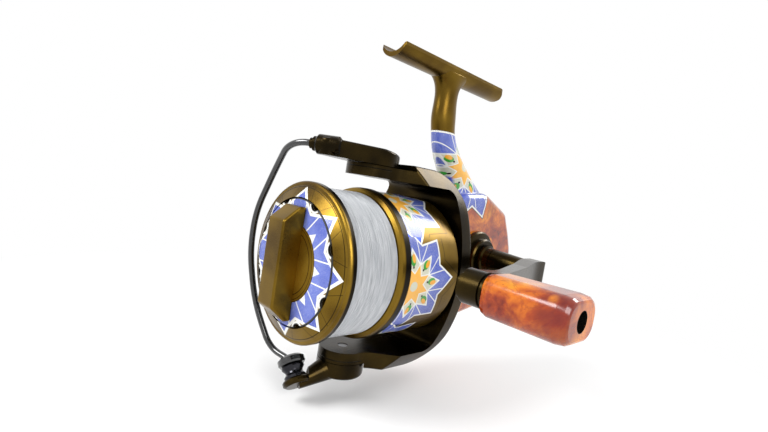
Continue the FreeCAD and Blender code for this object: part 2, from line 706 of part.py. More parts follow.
def bail_spring():
    """The spring that snaps the bail over, coiled in the lower arm's pocket."""
    wire_d = 0.6
    middle_r = 1.15
    pocket_z = (ARM_INNER_Z + 1.2 + ARM_OUTER_Z - 1.6) / 2 - 0.1
    edges = coil_route(Vector(0, 42.6, -pocket_z), Y, Z, middle_r, 1.25, 8)[0]
    wire = Part.Wire(edges)
    print(f"bail spring gap to itself {gap_along(wire, wire_d, math.pi * middle_r):.2f}")
    return swept_rod(wire, wire_d / 2)


# Bail

def upper_arm_end():
    """The middle of the wire's socket, where the upper arm ends."""
    return SOCKET_MOUTH - SOCKET_AXIS * (SOCKET_LENGTH / 2)


def bail_arm_outline(reach, tip_r):
    """An arm's outline in plan, from its pivot boss towards -Y, before it is turned."""
    boss = UPPER_BOSS_R
    side = (boss - tip_r) / reach
    lean = math.asin(side)
    points = []
    base = Part.Arc(Vector(boss * math.cos(lean), -boss * math.sin(lean), 0), Vector(0, boss, 0),
                    Vector(-boss * math.cos(lean), -boss * math.sin(lean), 0)).toShape()
    tip = Part.Arc(Vector(-tip_r * math.cos(lean), -reach - tip_r * math.sin(lean), 0),
                   Vector(0, -reach - tip_r, 0),
                   Vector(tip_r * math.cos(lean), -reach - tip_r * math.sin(lean), 0)).toShape()
    ends = [base.Vertexes[-1].Point, tip.Vertexes[0].Point, tip.Vertexes[-1].Point, base.Vertexes[0].Point]
    return Part.Wire([base, Part.makeLine(ends[0], ends[1]), tip, Part.makeLine(ends[2], ends[3])])


def on_roller_axis(shape):
    """Moves a piece drawn about Z so that Z runs along the roller's axis."""
    moved = shape.copy()
    moved.Placement = Placement(ROLLER_CENTRE, Rotation(Z, ROLLER_AXIS))
    return moved


def turned_z(profile):
    wire = Part.makePolygon([Vector(r, 0, z) for r, z in profile + profile[:1]])
    return Part.Face(wire).revolve(Vector(0, 0, 0), Z, 360)


def tapered_bar(start, start_r, end, end_r):
    """A round bar between two points, from one radius to another."""
    along = end - start
    length = along.Length
    return Part.makeCone(start_r, end_r, length, start, along)


def on_socket_axis(shape):
    """Moves a piece drawn about Z so that Z runs out of the socket's mouth."""
    moved = shape.copy()
    moved.Placement = Placement(SOCKET_MOUTH, Rotation(Z, SOCKET_AXIS))
    return moved


def is_upper_edge(edge):
    """Whether an edge of the upper arm lies round its outer face."""
    return min(vertex.Point.z for vertex in edge.Vertexes) > BAIL_INNER_Z + 1


def bail_arm_upper():
    middle = upper_arm_end()
    wire = bail_arm_outline(PIVOT_Y - middle.y, SOCKET_R)
    lean = math.degrees(math.atan2(middle.x, PIVOT_Y - middle.y))
    wire.rotate(Vector(0, 0, 0), Z, lean)
    wire.translate(Vector(0, PIVOT_Y, BAIL_INNER_Z))
    plate = Part.Face(wire).extrude(Vector(0, 0, BAIL_OUTER_Z - BAIL_INNER_Z))
    # The back falls away behind the pivot, and the front swells into the wire's socket
    slope = prism_x([(PIVOT_Y - 4, BAIL_OUTER_Z + 0.2), (PIVOT_Y + 16, BAIL_OUTER_Z - 2.4),
                     (PIVOT_Y + 16, BAIL_OUTER_Z + 3), (PIVOT_Y - 4, BAIL_OUTER_Z + 3)], [0] * 4, -14, 14)
    barrel = turned_z([(0, 0), (SOCKET_R - 0.9, 0), (SOCKET_R, -0.9), (SOCKET_R, 0.9 - SOCKET_LENGTH),
                       (SOCKET_R - 0.9, -SOCKET_LENGTH), (0, -SOCKET_LENGTH)])
    plate = fillet_edges(plate.cut(slope), ARM_EDGE_R, is_upper_edge)
    shape = plate.fuse(on_socket_axis(barrel))
    shape = shape.cut(cyl_z(PIVOT_PIN_R + RUNNING_GAP, BAIL_INNER_Z - 1, BAIL_OUTER_Z + 1, 0, PIVOT_Y))
    shape = shape.cut(cyl_z(PIVOT_HEAD_R + 0.3, BAIL_OUTER_Z - 2.2, BAIL_OUTER_Z + 1, 0, PIVOT_Y))
    shape = shape.cut(on_socket_axis(cyl_z(COLLAR_R, -COLLAR_DEPTH, 1)))
    return shape.removeSplitter()


def wire_collar():
    """The stepped collar that holds the wire in the upper arm's socket."""
    wire_r = WIRE_D / 2
    profile = [(wire_r, -COLLAR_DEPTH), (COLLAR_R, -COLLAR_DEPTH), (COLLAR_R, 0), (2.6, 0), (2.6, 0.9),
               (COLLAR_R, 1.2), (COLLAR_R, 2.2), (wire_r, 2.4)]
    return on_socket_axis(turned_z(profile))


def bail_wire():
    roller = ROLLER_CENTRE
    start = SOCKET_MOUTH - SOCKET_AXIS * COLLAR_DEPTH
    finish = roller - ROLLER_AXIS * (WIRE_DISC_END - 1.4)
    path = rounded_route([start] + [Vector(*corner) for corner in WIRE_CORNERS] + [finish])
    wire = swept_rod(path, WIRE_D / 2)
    section = math.pi * WIRE_D ** 2 / 4
    print(f"bail wire length {path.Length:.1f}, volume over section {wire.Volume / section:.1f}")
    disc = turned_z([(0, -WIRE_DISC_END), (ROLLER_DISC_R - 0.9, -WIRE_DISC_END),
                     (ROLLER_DISC_R, -WIRE_DISC_END + 0.8), (ROLLER_DISC_R, -ROLLER_HALF - 0.9),
                     (ROLLER_DISC_R - 0.5, -ROLLER_HALF - 0.3), (0, -ROLLER_HALF - 0.3)])
    bore = on_roller_axis(cyl_z(ROLLER_PIN_R, -WIRE_DISC_END + 1.5, 0))
    return wire.fuse(on_roller_axis(disc)).cut(bore).removeSplitter()


def bail_arm_lower():
    boss = cyl_z(PIVOT_BOSS_R, -BAIL_OUTER_Z, -BAIL_INNER_Z, 0, PIVOT_Y)
    rim = [edge for edge in boss.Edges if abs(edge.CenterOfMass.z + BAIL_OUTER_Z) < 1e-3]
    boss = boss.makeFillet(1.4, rim)
    disc = turned_z([(0, ROLLER_HALF + 0.3), (ROLLER_DISC_R - 0.4, ROLLER_HALF + 0.3),
                     (ROLLER_DISC_R, ROLLER_HALF + 0.8), (ROLLER_DISC_R, ARM_DISC_END - 0.7),
                     (ROLLER_DISC_R - 0.9, ARM_DISC_END), (0, ARM_DISC_END)])
    disc = on_roller_axis(disc)
    disc_centre = ROLLER_CENTRE + ROLLER_AXIS * (ROLLER_HALF + 1.7)
    neck = tapered_bar(Vector(0, PIVOT_Y - 5.0, -BAIL_INNER_Z - 3.2), 4.8, disc_centre, 2.3)
    low = cyl_z(30, -BAIL_INNER_Z, 0, 0, PIVOT_Y)
    shape = boss.fuse(disc).fuse(neck.cut(low))
    shape = shape.cut(cyl_z(PIVOT_PIN_R + RUNNING_GAP, -BAIL_OUTER_Z - 1, -BAIL_INNER_Z + 1, 0, PIVOT_Y))
    shape = shape.cut(cyl_z(PIVOT_HEAD_R + 0.3, -BAIL_OUTER_Z - 1, -BAIL_OUTER_Z + 2.2, 0, PIVOT_Y))
    clear = turned_z([(0, -ROLLER_HALF - 0.3), (ROLLER_R + 1.2, -ROLLER_HALF - 0.3),
                      (ROLLER_R + 1.2, ROLLER_HALF + 0.3), (0, ROLLER_HALF + 0.3)])
    shape = shape.cut(on_roller_axis(clear))
    shape = shape.cut(on_roller_axis(cyl_z(ROLLER_PIN_R, 0, ARM_DISC_END - 1.0)))
    return shape.removeSplitter()


def roller_pin():
    return on_roller_axis(cyl_z(ROLLER_PIN_R, -WIRE_DISC_END + 1.5, ARM_DISC_END - 1.0))


def roller_bush():
    return on_roller_axis(tube_z(ROLLER_BUSH_R, ROLLER_PIN_R, -ROLLER_HALF, ROLLER_HALF))


def line_roller():
    half = ROLLER_HALF
    waist = ROLLER_R - 1.0
    bore = ROLLER_BUSH_R + RUNNING_GAP
    profile = [(bore, -half), (ROLLER_R - 0.3, -half), (ROLLER_R, -half + 0.4), (ROLLER_R, -half + 0.9),
               (waist + 0.2, -0.5), (waist, 0.0), (waist + 0.1, 0.6), (ROLLER_R - 0.2, half - 0.9),
               (ROLLER_R - 0.2, half), (bore, half)]
    return on_roller_axis(turned_z(profile))


# Spool

def spool():
    """Lip, arbor, rear ring and skirt in one casting, with the drag's chamber in front."""
    seat_r = KNOB_DISC_R + 0.35
    floor = KNOB_BACK_Y + 0.5
    front = [(DRAG_CHAMBER_R, floor), (seat_r, floor), (seat_r, -2.3), (26.2, -0.5), (26.6, -0.1),
             (27.2, -0.1), (LIP_R - 0.3, 0.1), (LIP_R, 0.6), (LIP_R, LIP_DEPTH - 0.5),
             (LIP_R - 0.6, LIP_DEPTH)]
    arbor = [(ARBOR_R, LIP_DEPTH), (ARBOR_R, RING_FRONT_Y)]
    ring = [(RING_R - 1.6, RING_FRONT_Y), (RING_R - 0.4, RING_FRONT_Y + 0.7), (RING_R, RING_FRONT_Y + 1.9),
            (RING_R, RING_REAR_Y - 0.4), (SKIRT_R, RING_REAR_Y), (SKIRT_R, SKIRT_REAR_Y - 0.5),
            (SKIRT_R - 0.5, SKIRT_REAR_Y), (SKIRT_R - SKIRT_WALL, SKIRT_REAR_Y)]
    inner = [(SKIRT_R - SKIRT_WALL, RING_FRONT_Y + 2.0), (ARBOR_R - ARBOR_WALL, RING_FRONT_Y + 2.0),
             (ARBOR_R - ARBOR_WALL, DRAG_FLOOR_Y + 3.0), (SHAFT_R + RUNNING_GAP, DRAG_FLOOR_Y + 3.0),
             (SHAFT_R + RUNNING_GAP, DRAG_FLOOR_Y), (DRAG_CHAMBER_R, DRAG_FLOOR_Y)]
    return turned(front + arbor + ring + inner)


def line_core():
    return tube_y(LINE_CORE_R, ARBOR_R, LIP_DEPTH, RING_FRONT_Y)


def line_winding():
    """The outer layer of line: one rod in touching-free turns, its ends square to the flanges."""
    radius = LINE_CORE_R + LINE_D / 2
    start_y = (LIP_DEPTH + RING_FRONT_Y - LINE_PITCH * LINE_TURNS) / 2
    route, point, heading = coil_route(Vector(0, start_y, 0), Y, X, radius, LINE_PITCH, LINE_TURNS)
    end_angle = LINE_TURNS * 2 * math.pi
    first = end_run(point(0), heading(0) * -1, Y * -1, LIP_DEPTH)
    last = end_run(point(end_angle), heading(end_angle), Y, RING_FRONT_Y)
    backwards = [edge_reversed(edge) for edge in reversed(first)]
    wire = Part.Wire(backwards + route + last)
    print(f"line winding gap to itself {gap_along(wire, LINE_D, 40.0):.2f}")
    return swept_rod(wire, LINE_D / 2)


def edge_reversed(edge):
    """The same line or arc, run the other way."""
    start = edge.valueAt(edge.FirstParameter)
    end = edge.valueAt(edge.LastParameter)
    middle = edge.valueAt((edge.FirstParameter + edge.LastParameter) / 2)
    if isinstance(edge.Curve, Part.Line):
        return Part.makeLine(end, start)
    return Part.Arc(end, middle, start).toShape()


def end_run(start, heading, outward, wall_y):
    """Turns a rod's end to face a flange, then runs straight into it for one diameter."""
    radius = abs(wall_y - start.y) - LINE_D
    reach = radius * math.tan(heading.getAngle(outward) / 2)
    corner = start + heading * reach
    leave = corner + outward * reach
    finish = Vector(leave.x, wall_y, leave.z)
    return [arc_by_corner(start, corner, leave), Part.makeLine(leave, finish)]


def drag_washers():
    """Fibre washers that turn with the spool."""
    rings = [tube_y(DRAG_CHAMBER_R - 0.1, 3.2, y, y + 1.0) for y in (4.6, 8.2, 11.8)]
    return Part.makeCompound(rings)


def drag_plates():
    """Steel plates that are keyed to the shaft, between the fibre washers."""
    rings = [tube_y(DRAG_CHAMBER_R - 0.6, SHAFT_R, y, y + 1.2) for y in (3.1, 6.3, 9.9)]
    return Part.makeCompound(rings)


def click_ratchet():
    """The toothed ring behind the spool's floor that clicks as the drag slips."""
    teeth = 36
    tip_r, root_r = 10.4, 9.4
    y0 = DRAG_FLOOR_Y + 3.0
    points = []
    for k in range(teeth):
        a = 2 * math.pi * k / teeth
        b = 2 * math.pi * (k + 0.5) / teeth
        points.append((tip_r * math.cos(a), tip_r * math.sin(a)))
        points.append((root_r * math.cos(b), root_r * math.sin(b)))
    ring = prism_y(points, [0] * len(points), y0, y0 + 1.4)
    return ring.cut(cyl_y(7.0, y0 - 1, y0 + 3))


# Drag knob

def knob_disc():
    profile = [(0, KNOB_BACK_Y), (0, KNOB_FACE_Y + 0.3), (CENTRE_PLATE_R, KNOB_FACE_Y + 0.3),
               (CENTRE_PLATE_R + 0.2, KNOB_FACE_Y), (KNOB_DISC_R - 0.5, KNOB_FACE_Y + 0.4),
               (KNOB_DISC_R, KNOB_FACE_Y + 0.9), (KNOB_DISC_R, KNOB_BACK_Y)]
    disc = turned(profile)
    for k in range(NOTCH_COUNT):
        angle = 2 * math.pi * (k + 0.5) / NOTCH_COUNT
        x = (KNOB_DISC_R + 0.9) * math.cos(angle)
        z = (KNOB_DISC_R + 0.9) * math.sin(angle)
        disc = disc.cut(cyl_y(NOTCH_R, KNOB_FACE_Y - 1, KNOB_BACK_Y + 1, x, z))
    sleeve = tube_y(4.4, KNOB_BORE_R, KNOB_BACK_Y - 0.5, 2.6)
    disc = disc.fuse(sleeve).cut(cyl_y(KNOB_BORE_R, KNOB_FACE_Y, 3.0))
    return disc.cut(knob_bar()).removeSplitter()


def knob_bar():
    half = BAR_WIDTH / 2
    low = KNOB_FACE_Y + 0.3
    outline = [(low, -BAR_BASE_HALF), (low, BAR_BASE_HALF), (BAR_SHOULDER_Y, BAR_BASE_HALF),
               (BAR_TOP_Y, BAR_TOP_HALF), (BAR_TOP_Y, -BAR_TOP_HALF), (BAR_SHOULDER_Y, -BAR_BASE_HALF)]
    bar = prism_x(outline, [0.5, 0.5, 1.0, 1.6, 1.6, 1.0], -half, half)
    bar = fillet_edges(bar, 0.7, lambda e: abs(abs(e.CenterOfMass.x) - half) < 1e-3
                            and e.CenterOfMass.y < low - 0.4)
    return bar.cut(cyl_y(KNOB_BORE_R, SHAFT_FRONT_Y - 1.0, 0))


def knob_plate():
    """The thin round plate that dresses the middle of the knob, on both sides of the bar."""
    plate = tube_y(CENTRE_PLATE_R - 0.1, KNOB_BORE_R, KNOB_FACE_Y - 0.2, KNOB_FACE_Y + 0.3)
    return plate.cut(box(-BAR_WIDTH / 2, BAR_WIDTH / 2, -20, 20, -30, 30))


def knob_spring():
    """The spring that presses the drag's washers when the knob is screwed in."""
    wire_d = 0.4
    start = Vector(0, KNOB_BACK_Y + wire_d / 2 + 0.05, 0)
    edges = coil_route(start, Y, X, 6.2, 0.95, 1.5)[0]
    wire = Part.Wire(edges)
    print(f"drag spring gap to itself {gap_along(wire, wire_d, 30.0):.2f}")
    return swept_rod(wire, wire_d / 2)


# Shaft and slider

def main_shaft():
    shaft = cyl_y(SHAFT_R, SHAFT_FRONT_Y + 0.6, SHAFT_REAR_Y)
    step = cyl_y(4.0, DRAG_FLOOR_Y + 3.2, DRAG_FLOOR_Y + 5.6)
    return shaft.fuse(step).removeSplitter()


def spool_shim():
    y0 = DRAG_FLOOR_Y + 5.6
    return tube_y(5.0, SHAFT_R, y0, y0 + 0.8)


def slider_block():
    y0, y1 = SLIDER_FRONT_Y, SHAFT_REAR_Y
    low = WORM_Z + 3.4
    block = prism_y([(-2.2, 2.4), (-2.2, low), (9.2, low), (9.2, 2.4)], [0.8] * 4, y0, y1)
    skirt = prism_y([(-1.9, WORM_Z + 4), (-1.9, WORM_Z - 4.0), (5.0, WORM_Z - 4.0), (5.0, WORM_Z + 4)],
                    [0, 0.8, 0.8, 0], y0, y1)
    block = block.fuse(skirt).cut(cyl_y(WORM_R + 0.45, y0 - 1, y1 + 1, WORM_X, WORM_Z))
    block = block.cut(cyl_y(SHAFT_R, y0 - 1, y1 + 1))
    block = block.cut(cyl_y(SLIDER_ROD_R + RUNNING_GAP, y0 - 1, y1 + 1, SLIDER_ROD_X, SLIDER_ROD_Z))
    block = block.cut(cyl_z(PAWL_R, WORM_Z - 6, WORM_Z, WORM_X, (y0 + y1) / 2))
    return block.removeSplitter()


def slider_pawl():
    """The pawl that follows the worm's crossed groove, under its round cap."""
    y = (SLIDER_FRONT_Y + SHAFT_REAR_Y) / 2
    return cyl_z(PAWL_R, WORM_Z - 4.3, WORM_Z - WORM_R - 0.3, WORM_X, y)


# Worm

def worm_shaft():
    shape = cyl_y(WORM_R, 68.4, WORM_REAR_Y, WORM_X, WORM_Z)
    shape = shape.fuse(cyl_y(WORM_JOURNAL_R, WORM_JOURNAL_FRONT_Y + 0.1, WORM_BUSH_Y[1] - 0.1, WORM_X, WORM_Z))
    # Leaning round grooves that cross each other stand for the reversing thread
    for k in range(5):
        for lean in (-24, 24):
            ring = Part.makeTorus(WORM_R + 0.15, 0.55)
            ring.rotate(Vector(0, 0, 0), X, 90)
            ring.rotate(Vector(0, 0, 0), Z, lean)
            ring.translate(Vector(WORM_X, 74.5 + 5.2 * k, WORM_Z))
            shape = shape.cut(ring)
    return shape.removeSplitter()


def worm_gear():
    pitch_r = PINION_PITCH_R * WORM_GEAR_TEETH / PINION_TEETH
    root_r = pitch_r - 0.85
    tip_r = pitch_r + 0.6
    y0, y1 = 66.3, 67.9
    shape = cyl_y(root_r, y0, y1)
    # The pinion's tooth nearest to the line of centres sets where the gear's gap lies
    centre_angle = math.degrees(math.atan2(-WORM_Z, -WORM_X))
    toward = math.degrees(math.atan2(WORM_Z, WORM_X))
    pinion_pitch = 360.0 / PINION_TEETH
    offset = (180.0 - toward) % pinion_pitch
    if offset > pinion_pitch / 2:
        offset -= pinion_pitch
    gap_angle = centre_angle - offset * PINION_TEETH / WORM_GEAR_TEETH
    for k in range(WORM_GEAR_TEETH):
        angle = gap_angle + 360.0 * (k + 0.5) / WORM_GEAR_TEETH
        shape = shape.fuse(trapezoid_tooth_y(root_r, tip_r, 0.62, 0.34, y0, y1, angle))
    shape = shape.cut(cyl_y(WORM_JOURNAL_R, y0 - 1, y1 + 1))
    shape.translate(Vector(WORM_X, 0, WORM_Z))
    return shape.removeSplitter()


# Handle and its gear

def drive_gear():
    """A face gear whose straight teeth pass beside its centre, to mesh with the offset pinion."""
    reach = PINION_PITCH_R * FACE_TEETH / PINION_TEETH
    half_face = 2.4
    root_x = -(PINION_TIP_R + 0.3)
    tip_x = -(PINION_ROOT_R + 0.3)
    back_x = root_x - 2.2
    outer_r = math.hypot(reach + half_face, DRIVE_Z)
    inner_r = math.hypot(reach - half_face, DRIVE_Z)
    disc = turned_x([(DRIVE_R, back_x), (outer_r, back_x), (outer_r, root_x), (inner_r - 0.6, root_x),
                     (inner_r - 1.4, root_x - 0.8), (5.0, root_x - 0.8), (5.0, root_x), (DRIVE_R, root_x)],
                    DRIVE_Y, DRIVE_Z)
    near = DRIVE_Y - reach - half_face
    far = DRIVE_Y - reach + half_face
    outline = [(-0.52, root_x - 0.3), (-0.30, tip_x), (0.30, tip_x), (0.52, root_x - 0.3)]
    wire = Part.makePolygon([Vector(x, near, z) for z, x in outline + outline[:1]])
    tooth = Part.Face(wire).extrude(Vector(0, far - near, 0))
    teeth = []
    for k in range(FACE_TEETH):
        one = tooth.copy()
        one.rotate(Vector(0, DRIVE_Y, DRIVE_Z), X, 360.0 * (k + 0.5) / FACE_TEETH)
        teeth.append(one)
    rim = cyl_x(outer_r, back_x, 0, DRIVE_Y, DRIVE_Z)
    shape = disc.fuse(teeth).common(rim)
    return shape.removeSplitter()


def drive_shaft():
    return cyl_x(DRIVE_R, LEFT_BEARING_X + 0.1, BODY_HALF_WIDTH + 5.5, DRIVE_Y, DRIVE_Z)


def handle_shank():
    x0 = BODY_HALF_WIDTH + 5.5
    profile = [(0, x0), (6.3, x0), (6.3, x0 + 1.4), (5.4, x0 + 1.9), (5.3, x0 + 4.6), (5.0, x0 + 4.7),
               (5.0, x0 + 5.0), (5.3, x0 + 5.1), (4.3, HUB_INNER_X), (0, HUB_INNER_X)]
    return turned_x(profile, DRIVE_Y, DRIVE_Z)


def handle_arm():
    """The bent arm from the shank's hub out and forward to the grip's post."""
    outer_x = POST_BOSS_X + 3.8
    plan = [(HUB_INNER_X, DRIVE_Y + 5.6), (HUB_OUTER_X, DRIVE_Y + 5.6), (HUB_OUTER_X, DRIVE_Y - 5.0),
            (outer_x, GRIP_Y + 14.0), (outer_x, GRIP_Y - 8.0), (POST_BOSS_X - 0.6, GRIP_Y - 8.0),
            (POST_BOSS_X - 1.4, GRIP_Y + 17.0), (HUB_INNER_X + 0.4, DRIVE_Y - 6.0)]
    plate = prism_z(plan, [2.2, 2.8, 30.0, 30.0, 0, 0, 30.0, 26.0], GRIP_Z - 8, GRIP_Z + 8)
    hub = 4.9
    waist = 3.9
    side = [(DRIVE_Y + 5.6, hub), (DRIVE_Y - 5.0, hub), (DRIVE_Y - 20.0, waist), (GRIP_Y + 16.0, waist),
            (GRIP_Y + 4.0, POST_BOSS_R - 0.8), (GRIP_Y - 5.0, POST_BOSS_R - 1.8)]
    outline = [(y, GRIP_Z + h) for y, h in side] + [(y, GRIP_Z - h) for y, h in reversed(side)]
    rounding = [3.8, 12.0, 30.0, 20.0, 6.0, 3.0]
    face = prism_x(outline, rounding + rounding[::-1], 38, POST_BOSS_X + 6)
    arm = plate.common(face)
    boss = cyl_x(POST_BOSS_R, POST_BOSS_X, POST_BOSS_END_X - 1.1, GRIP_Y, GRIP_Z)
    step = cyl_x(POST_BOSS_R - 0.5, POST_BOSS_END_X - 1.2, POST_BOSS_END_X, GRIP_Y, GRIP_Z)
    bore = cyl_x(GRIP_POST_R, POST_BOSS_X + 1, POST_BOSS_END_X + 1, GRIP_Y, GRIP_Z)
    return arm.fuse(boss).fuse(step).cut(bore).removeSplitter()


def grip_post():
    """The steel post that the grip turns on, with its end screw inside the grip."""
    x1 = GRIP_END_X - GRIP_HOLE_DEPTH
    post = cyl_x(GRIP_POST_R, POST_BOSS_X + 1, x1 - 1.0, GRIP_Y, GRIP_Z)
    head = cyl_x(2.6, x1 - 1.0, x1 + 0.8, GRIP_Y, GRIP_Z)
    slot = box(x1 + 0.1, x1 + 2, GRIP_Y - 1.8, GRIP_Y + 1.8, GRIP_Z - 0.35, GRIP_Z + 0.35)
    cross = box(x1 + 0.1, x1 + 2, GRIP_Y - 0.35, GRIP_Y + 0.35, GRIP_Z - 1.8, GRIP_Z + 1.8)
    return post.fuse(head).cut(slot).cut(cross).removeSplitter()


def grip_bushes():
    x1 = GRIP_END_X - GRIP_HOLE_DEPTH - 1.2
    near = tube_x(GRIP_BORE_R, GRIP_POST_R + RUNNING_GAP, GRIP_X, GRIP_X + 5, GRIP_Y, GRIP_Z)
    far = tube_x(GRIP_BORE_R, GRIP_POST_R + RUNNING_GAP, x1 - 5, x1, GRIP_Y, GRIP_Z)
    return Part.makeCompound([near, far])


def grip():
    """A rounded block that swells a little towards its outer end."""
    rings = [box_ring(GRIP_X, 5.9, 4.9, 3.4), box_ring(GRIP_X + 0.7, 6.8, 5.7, 3.9),
             box_ring(GRIP_X + 2.2, 7.4, 6.1, 4.1), box_ring(GRIP_END_X - 3.4, 8.8, 6.2, 4.4),
             box_ring(GRIP_END_X - 1.2, 8.6, 5.9, 4.4), box_ring(GRIP_END_X - 0.3, 8.0, 5.3, 4.2),
             box_ring(GRIP_END_X, 7.4, 4.7, 3.9)]
    body = Part.makeLoft(rings, True, True)
    body = body.cut(cyl_x(GRIP_BORE_R, GRIP_X - 1, GRIP_END_X - GRIP_HOLE_DEPTH - 0.6, GRIP_Y, GRIP_Z))
    return body.cut(cyl_x(GRIP_HOLE_R, GRIP_X + 5, GRIP_END_X + 1, GRIP_Y, GRIP_Z))


def main():
    os.makedirs("parts", exist_ok=True)
    outer = outer_body()
    cavity = body_cavity()
    pieces = [
        ("body_housing", body_housing(outer, cavity)),
        ("side_cover", side_cover(outer, cavity)),
        ("cover_screws", cover_screws()),
        ("drive_bearing_left", bearing_x(LEFT_BEARING_X)),
        ("drive_bearing_right", bearing_x(RIGHT_BEARING_X)),
        ("pinion_bearing", pinion_bearing()),
        ("bearing_retainer", bearing_retainer()),
        ("one_way_clutch", one_way_clutch()),
        ("clutch_retainer", clutch_retainer()),
        ("worm_bush", worm_bush()),
        ("slider_rod", slider_rod()),
        ("drive_bearing_cap", drive_bearing_cap()),
        ("handle_screw_cap", handle_screw_cap()),
        ("rotor", rotor()),
        ("rotor_nut", rotor_nut()),
        ("pinion_gear", pinion_gear()),
        ("clutch_sleeve", clutch_sleeve()),
        ("pivot_screws", pivot_screws()),
        ("bail_spring", bail_spring()),
        ("bail_arm_upper", bail_arm_upper()),
        ("wire_collar", wire_collar()),
        ("bail_wire", bail_wire()),
        ("bail_arm_lower", bail_arm_lower()),
        ("roller_pin", roller_pin()),
        ("roller_bush", roller_bush()),
        ("line_roller", line_roller()),
        ("spool", spool()),
        ("line_core", line_core()),
        ("line_winding", line_winding()),
        ("drag_washers", drag_washers()),
        ("drag_plates", drag_plates()),
        ("click_ratchet", click_ratchet()),
        ("drag_knob_disc", knob_disc()),
        ("drag_knob_bar", knob_bar()),
        ("drag_knob_plate", knob_plate()),
        ("drag_spring", knob_spring()),
        ("main_shaft", main_shaft()),
        ("spool_shim", spool_shim()),
        ("slider_block", slider_block()),
        ("slider_pawl", slider_pawl()),
        ("worm_shaft", worm_shaft()),
        ("worm_gear", worm_gear()),
        ("drive_gear", drive_gear()),
        ("drive_shaft", drive_shaft()),
        ("handle_shank", handle_shank()),
        ("handle_arm", handle_arm()),
        ("grip_post", grip_post()),
        ("grip_bushes", grip_bushes()),
        ("handle_grip", grip()),
    ]
    for name, shape in pieces:
        export(name, shape)


main()
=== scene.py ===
import bmesh
import bpy
import math
from mathutils import Matrix, Vector


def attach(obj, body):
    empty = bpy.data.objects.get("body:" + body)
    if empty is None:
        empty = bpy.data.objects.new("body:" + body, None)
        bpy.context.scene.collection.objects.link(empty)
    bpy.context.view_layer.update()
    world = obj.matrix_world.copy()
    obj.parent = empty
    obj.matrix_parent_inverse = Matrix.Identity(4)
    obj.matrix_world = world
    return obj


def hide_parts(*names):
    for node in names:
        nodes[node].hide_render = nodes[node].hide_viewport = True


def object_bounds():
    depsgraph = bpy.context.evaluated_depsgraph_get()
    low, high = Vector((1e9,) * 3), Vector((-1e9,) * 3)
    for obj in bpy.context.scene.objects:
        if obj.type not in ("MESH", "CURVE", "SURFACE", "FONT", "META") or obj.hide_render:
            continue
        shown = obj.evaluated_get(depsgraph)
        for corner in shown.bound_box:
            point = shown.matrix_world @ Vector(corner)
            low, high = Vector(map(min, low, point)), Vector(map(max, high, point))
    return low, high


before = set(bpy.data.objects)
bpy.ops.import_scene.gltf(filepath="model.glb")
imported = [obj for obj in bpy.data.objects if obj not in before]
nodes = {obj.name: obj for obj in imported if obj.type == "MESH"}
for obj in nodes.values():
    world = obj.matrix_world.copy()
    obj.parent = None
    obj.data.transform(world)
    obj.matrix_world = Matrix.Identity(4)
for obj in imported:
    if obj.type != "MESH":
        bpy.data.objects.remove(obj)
cad_low, cad_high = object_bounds()

# Lengths below are in millimetres about the spool's axis, with the front towards -Y,
# and MM turns them into the frame's metres.
MM = 0.001
SPOOL_CENTRE = Vector((0, -63.2, -88.1307))

SKIRT_R = 27.9
RING_FRONT_Y = 22.2
RING_REAR_Y = 27.1
LIP_DEPTH = 3.0
LINE_R = 26.1
KNOB_R = 21.9
CENTRE_PLATE_R = 13.4
PIVOT_Y = 26.5
GRIP_AXIS = (23.7, 5.4)
GRIP_HOLE_R = 2.9

# The painted stars, as the radius of their outer points and of the notches between
SKIRT_STAR = (21.5, 15.4)
LEG_STAR = (23.7, 16.6)
FACE_STAR = (26.0, 19.4)
LEG_STAR_CENTRE = (76.0, 44.0)
LEG_TOP_Z = 57.3
KITE_TIP_R = 13.3


def place(x, y, z):
    """A point in the frame's metres from millimetres about the spool's axis."""
    return (Vector((x, y, z)) + SPOOL_CENTRE) * MM


def srgb(r, g, b):
    """A shader colour from the 0 to 255 values of a screen colour."""
    linear = [((v / 255 + 0.055) / 1.055) ** 2.4 if v > 10 else v / 255 / 12.92 for v in (r, g, b)]
    return tuple(linear) + (1.0,)


class Value:
    """A number in a material that takes part in Python sums."""

    def __init__(self, paint, socket):
        self.paint = paint
        self.socket = socket

    def math(self, operation, *others, clamp=False):
        sockets = {i: other for i, other in enumerate((self,) + others)}
        node = self.paint.node("ShaderNodeMath", {"operation": operation, "use_clamp": clamp}, sockets)
        return Value(self.paint, node.outputs[0])

    def __add__(self, other):
        return self.math("ADD", other)

    __radd__ = __add__

    def __sub__(self, other):
        return self.math("SUBTRACT", other)

    def __rsub__(self, other):
        return (self * -1.0) + other

    def __mul__(self, other):
        return self.math("MULTIPLY", other)

    __rmul__ = __mul__

    def __truediv__(self, other):
        return self.math("DIVIDE", other)

    def __abs__(self):
        return self.math("ABSOLUTE")

    def __or__(self, other):
        """Either of two masks."""
        return self.math("MAXIMUM", other)

    def __and__(self, other):
        """Both of two masks."""
        return self.math("MINIMUM", other)

    def clamped(self):
        """The value held between 0 and 1."""
        return self.math("ADD", 0.0, clamp=True)

    def inside(self, soft=0.06):
        """A mask of where a distance is below nought, with a soft edge in millimetres."""
        return (0.5 - self * (1 / soft)).clamped()

    def line(self, half_width, soft=0.06):
        """A mask of where a distance is near nought."""
        return (abs(self) - half_width).inside(soft)


def distance(across, along):
    """How far a place is from a centre, from its two offsets."""
    return (across * across + along * along).math("SQRT")


